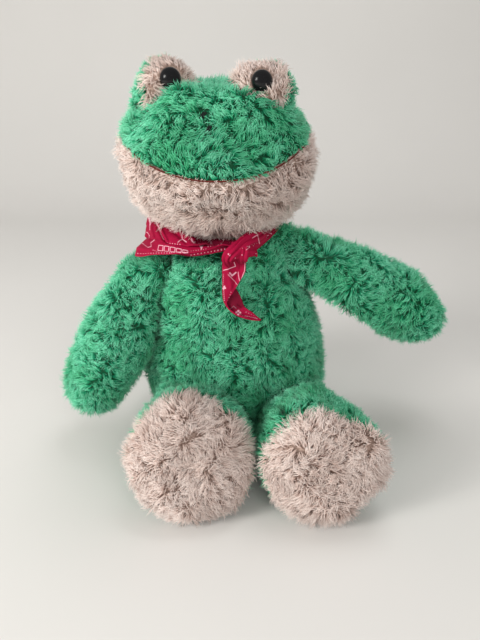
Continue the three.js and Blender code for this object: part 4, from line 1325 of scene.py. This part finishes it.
# The hanging end's outline in pixels, row by row: left edge, right edge, and where the turned part ends
TAIL_ROWS = [
    (224, 250, 250, 251, 224, 251), (223.2, 256, 249, 257, 223.4, 257.2), (222.6, 263, 246, 263, 223, 264),
    (222.4, 271, 245.2, 271.6, 223.4, 272.4), (222.4, 280, 240.8, 279.6, 226, 279.4),
    (222.4, 288, 236.6, 286.8, 234, 286.6), (222.5, 294, 232, 293.8, 238, 292),
    (223.2, 299.4, 228.4, 298.8, 240.6, 296.6), (225.2, 304.6, 227, 303.8, 242.4, 301.4),
    (229.6, 310.4, 230.4, 309.6, 244.4, 306.4), (236, 315.2, 236.8, 313.6, 247.6, 309.4),
    (243.4, 318.2, 244, 316.4, 252.6, 312.6), (251.6, 320, 251.8, 318.6, 257, 316.4),
    (259.6, 320.6, 259.7, 320.2, 261.4, 319.8),
]
TAIL_CREASES = [
    ((226, 258), (233, 296), 1.8, 0.9), ((244, 256), (232, 290), 1.6, -1.0),
    ((236, 256), (240, 276), 1.5, 0.8), ((238, 305), (256, 317), 1.0, -1.3),
    ((232, 306), (248, 317.5), 1.1, 1.0), ((243, 309), (258, 317), 0.9, 0.9),
]


def build_tail():
    """The hanging end: flat below the knot, then turned over with its back to the front, then a point."""
    rows, steps = spline(TAIL_ROWS, 190), 64
    grid = np.zeros((len(rows), steps, 3))
    seen = np.zeros((len(rows), steps, 2))
    for i, (left, left_down, right, right_down, back, back_down) in enumerate(rows):
        front = math.hypot(right - left, right_down - left_down)
        behind = back - left if back > left + 1.5 else 0.0
        s = np.linspace(0, front + behind, steps)
        t = np.clip(s / max(front, 1e-6), 0, 1)
        w = np.clip((s - front) / max(behind, 1e-6), 0, 1)
        over = s > front
        u = np.where(over, left + (back - left) * w, right + (left - right) * t)
        v = np.where(over, left_down + (back_down - left_down) * w, right_down + (left_down - right_down) * t)
        depth = -74.5 - 5.5 * i / len(rows) + 3.2 * smoothstep(s, front - 1.2, front + 1.6)
        sag = 0.9 * math.sin(i / 21) * np.sin(s / 4.0) + 0.5 * np.sin(i / 9 + s / 3)
        seen[i] = np.stack([u, v], 1)
        grid[i] = [at_pixel(*p) for p in zip(u, v, depth + sag)]
    seen = seen.reshape(-1, 2)
    depth = sum(deep * nearness(seen, start, end, width) for start, end, width, deep in TAIL_CREASES)
    grid[..., 1] -= depth.reshape(len(rows), steps)
    # The back face of the upper rows, turned to the front, gets the darker back colour, which is partly
    # painted shade
    back_and_shade = 1 - smoothstep(np.repeat(np.linspace(0, 1, len(rows)), steps), 0.68, 0.74)
    piece = cloth_slab("bandana_hanging_end", grid, covered(seen, TAIL_PRINT), (0.0, back_and_shade))
    belongs(piece, "bandana_tail", "printed_cotton", "bandana_tail")


build_torso()
build_head()
for side, label in ((-1, "left"), (1, "right")):
    build_mound(side, label)
    build_eye(side, label)
for side, label, seed in ((-1, "left", 41), (1, "right", 42)):
    build_arm(side, label, seed, **ARMS[side])
for side, label, seed in ((-1, "left", 51), (1, "right", 61)):
    build_leg(side, label, seed)
build_mouth()
build_nostrils()
build_band()
build_knot()
build_tail()


# Studio

def area_light(name, place, target, size, power, colour=WHITE, glossy=True):
    data = bpy.data.lights.new(name, "AREA")
    data.shape = "DISK"
    data.size = size
    data.energy = power
    data.color = colour
    light = add_object(name, data)
    light.location = place
    light.visible_glossy = glossy
    light.rotation_euler = (Vector(target) - Vector(place)).to_track_quat("-Z", "Y").to_euler()


def build_backdrop():
    """A floor that bends up into a wall."""
    paint = Paint("studio_floor")
    pale = paint.mixed(paint.noise(3.0), (0.7, 0.69, 0.67), (0.66, 0.65, 0.63))
    bend = np.linspace(0, np.pi / 2, 12)
    curve = np.stack([900 + 500 * np.sin(bend), 500 - 500 * np.cos(bend)], 1)
    line = np.vstack([[(-1500, 0)], curve, [(1400, 2500)]])
    points = [(x, y, z) for x in (-2500, 2500) for y, z in line]
    n = len(line)
    faces = [(i, i + 1, n + i + 1, n + i) for i in range(n - 1)]
    new_mesh("studio_floor", points, faces, paint.finished(pale, Roughness=0.7))


def build_lights():
    world = bpy.data.worlds.new("studio")
    world.use_nodes = True
    world.node_tree.nodes["Background"].inputs["Color"].default_value = (1, 0.98, 0.95, 1)
    world.node_tree.nodes["Background"].inputs["Strength"].default_value = 0.45
    bpy.context.scene.world = world
    area_light("key", (-1.55, -0.86, 0.72), (0, 0, 0.25), 0.42, 16, (1, 0.97, 0.93), glossy=False)
    area_light("window", (-1.25, -1.0, 0.82), (0, 0, 0.3), 0.5, 11, (1, 0.98, 0.95))
    area_light("fill", (0.5, -1.7, 1.0), (0, 0, 0.2), 1.2, 13, (1, 0.98, 0.96), glossy=False)
    area_light("top", (0.3, 0.3, 1.7), (0, 0, 0.2), 0.9, 7, glossy=False)


build_backdrop()
build_lights()
bpy.context.scene.view_settings.view_transform = "Standard"
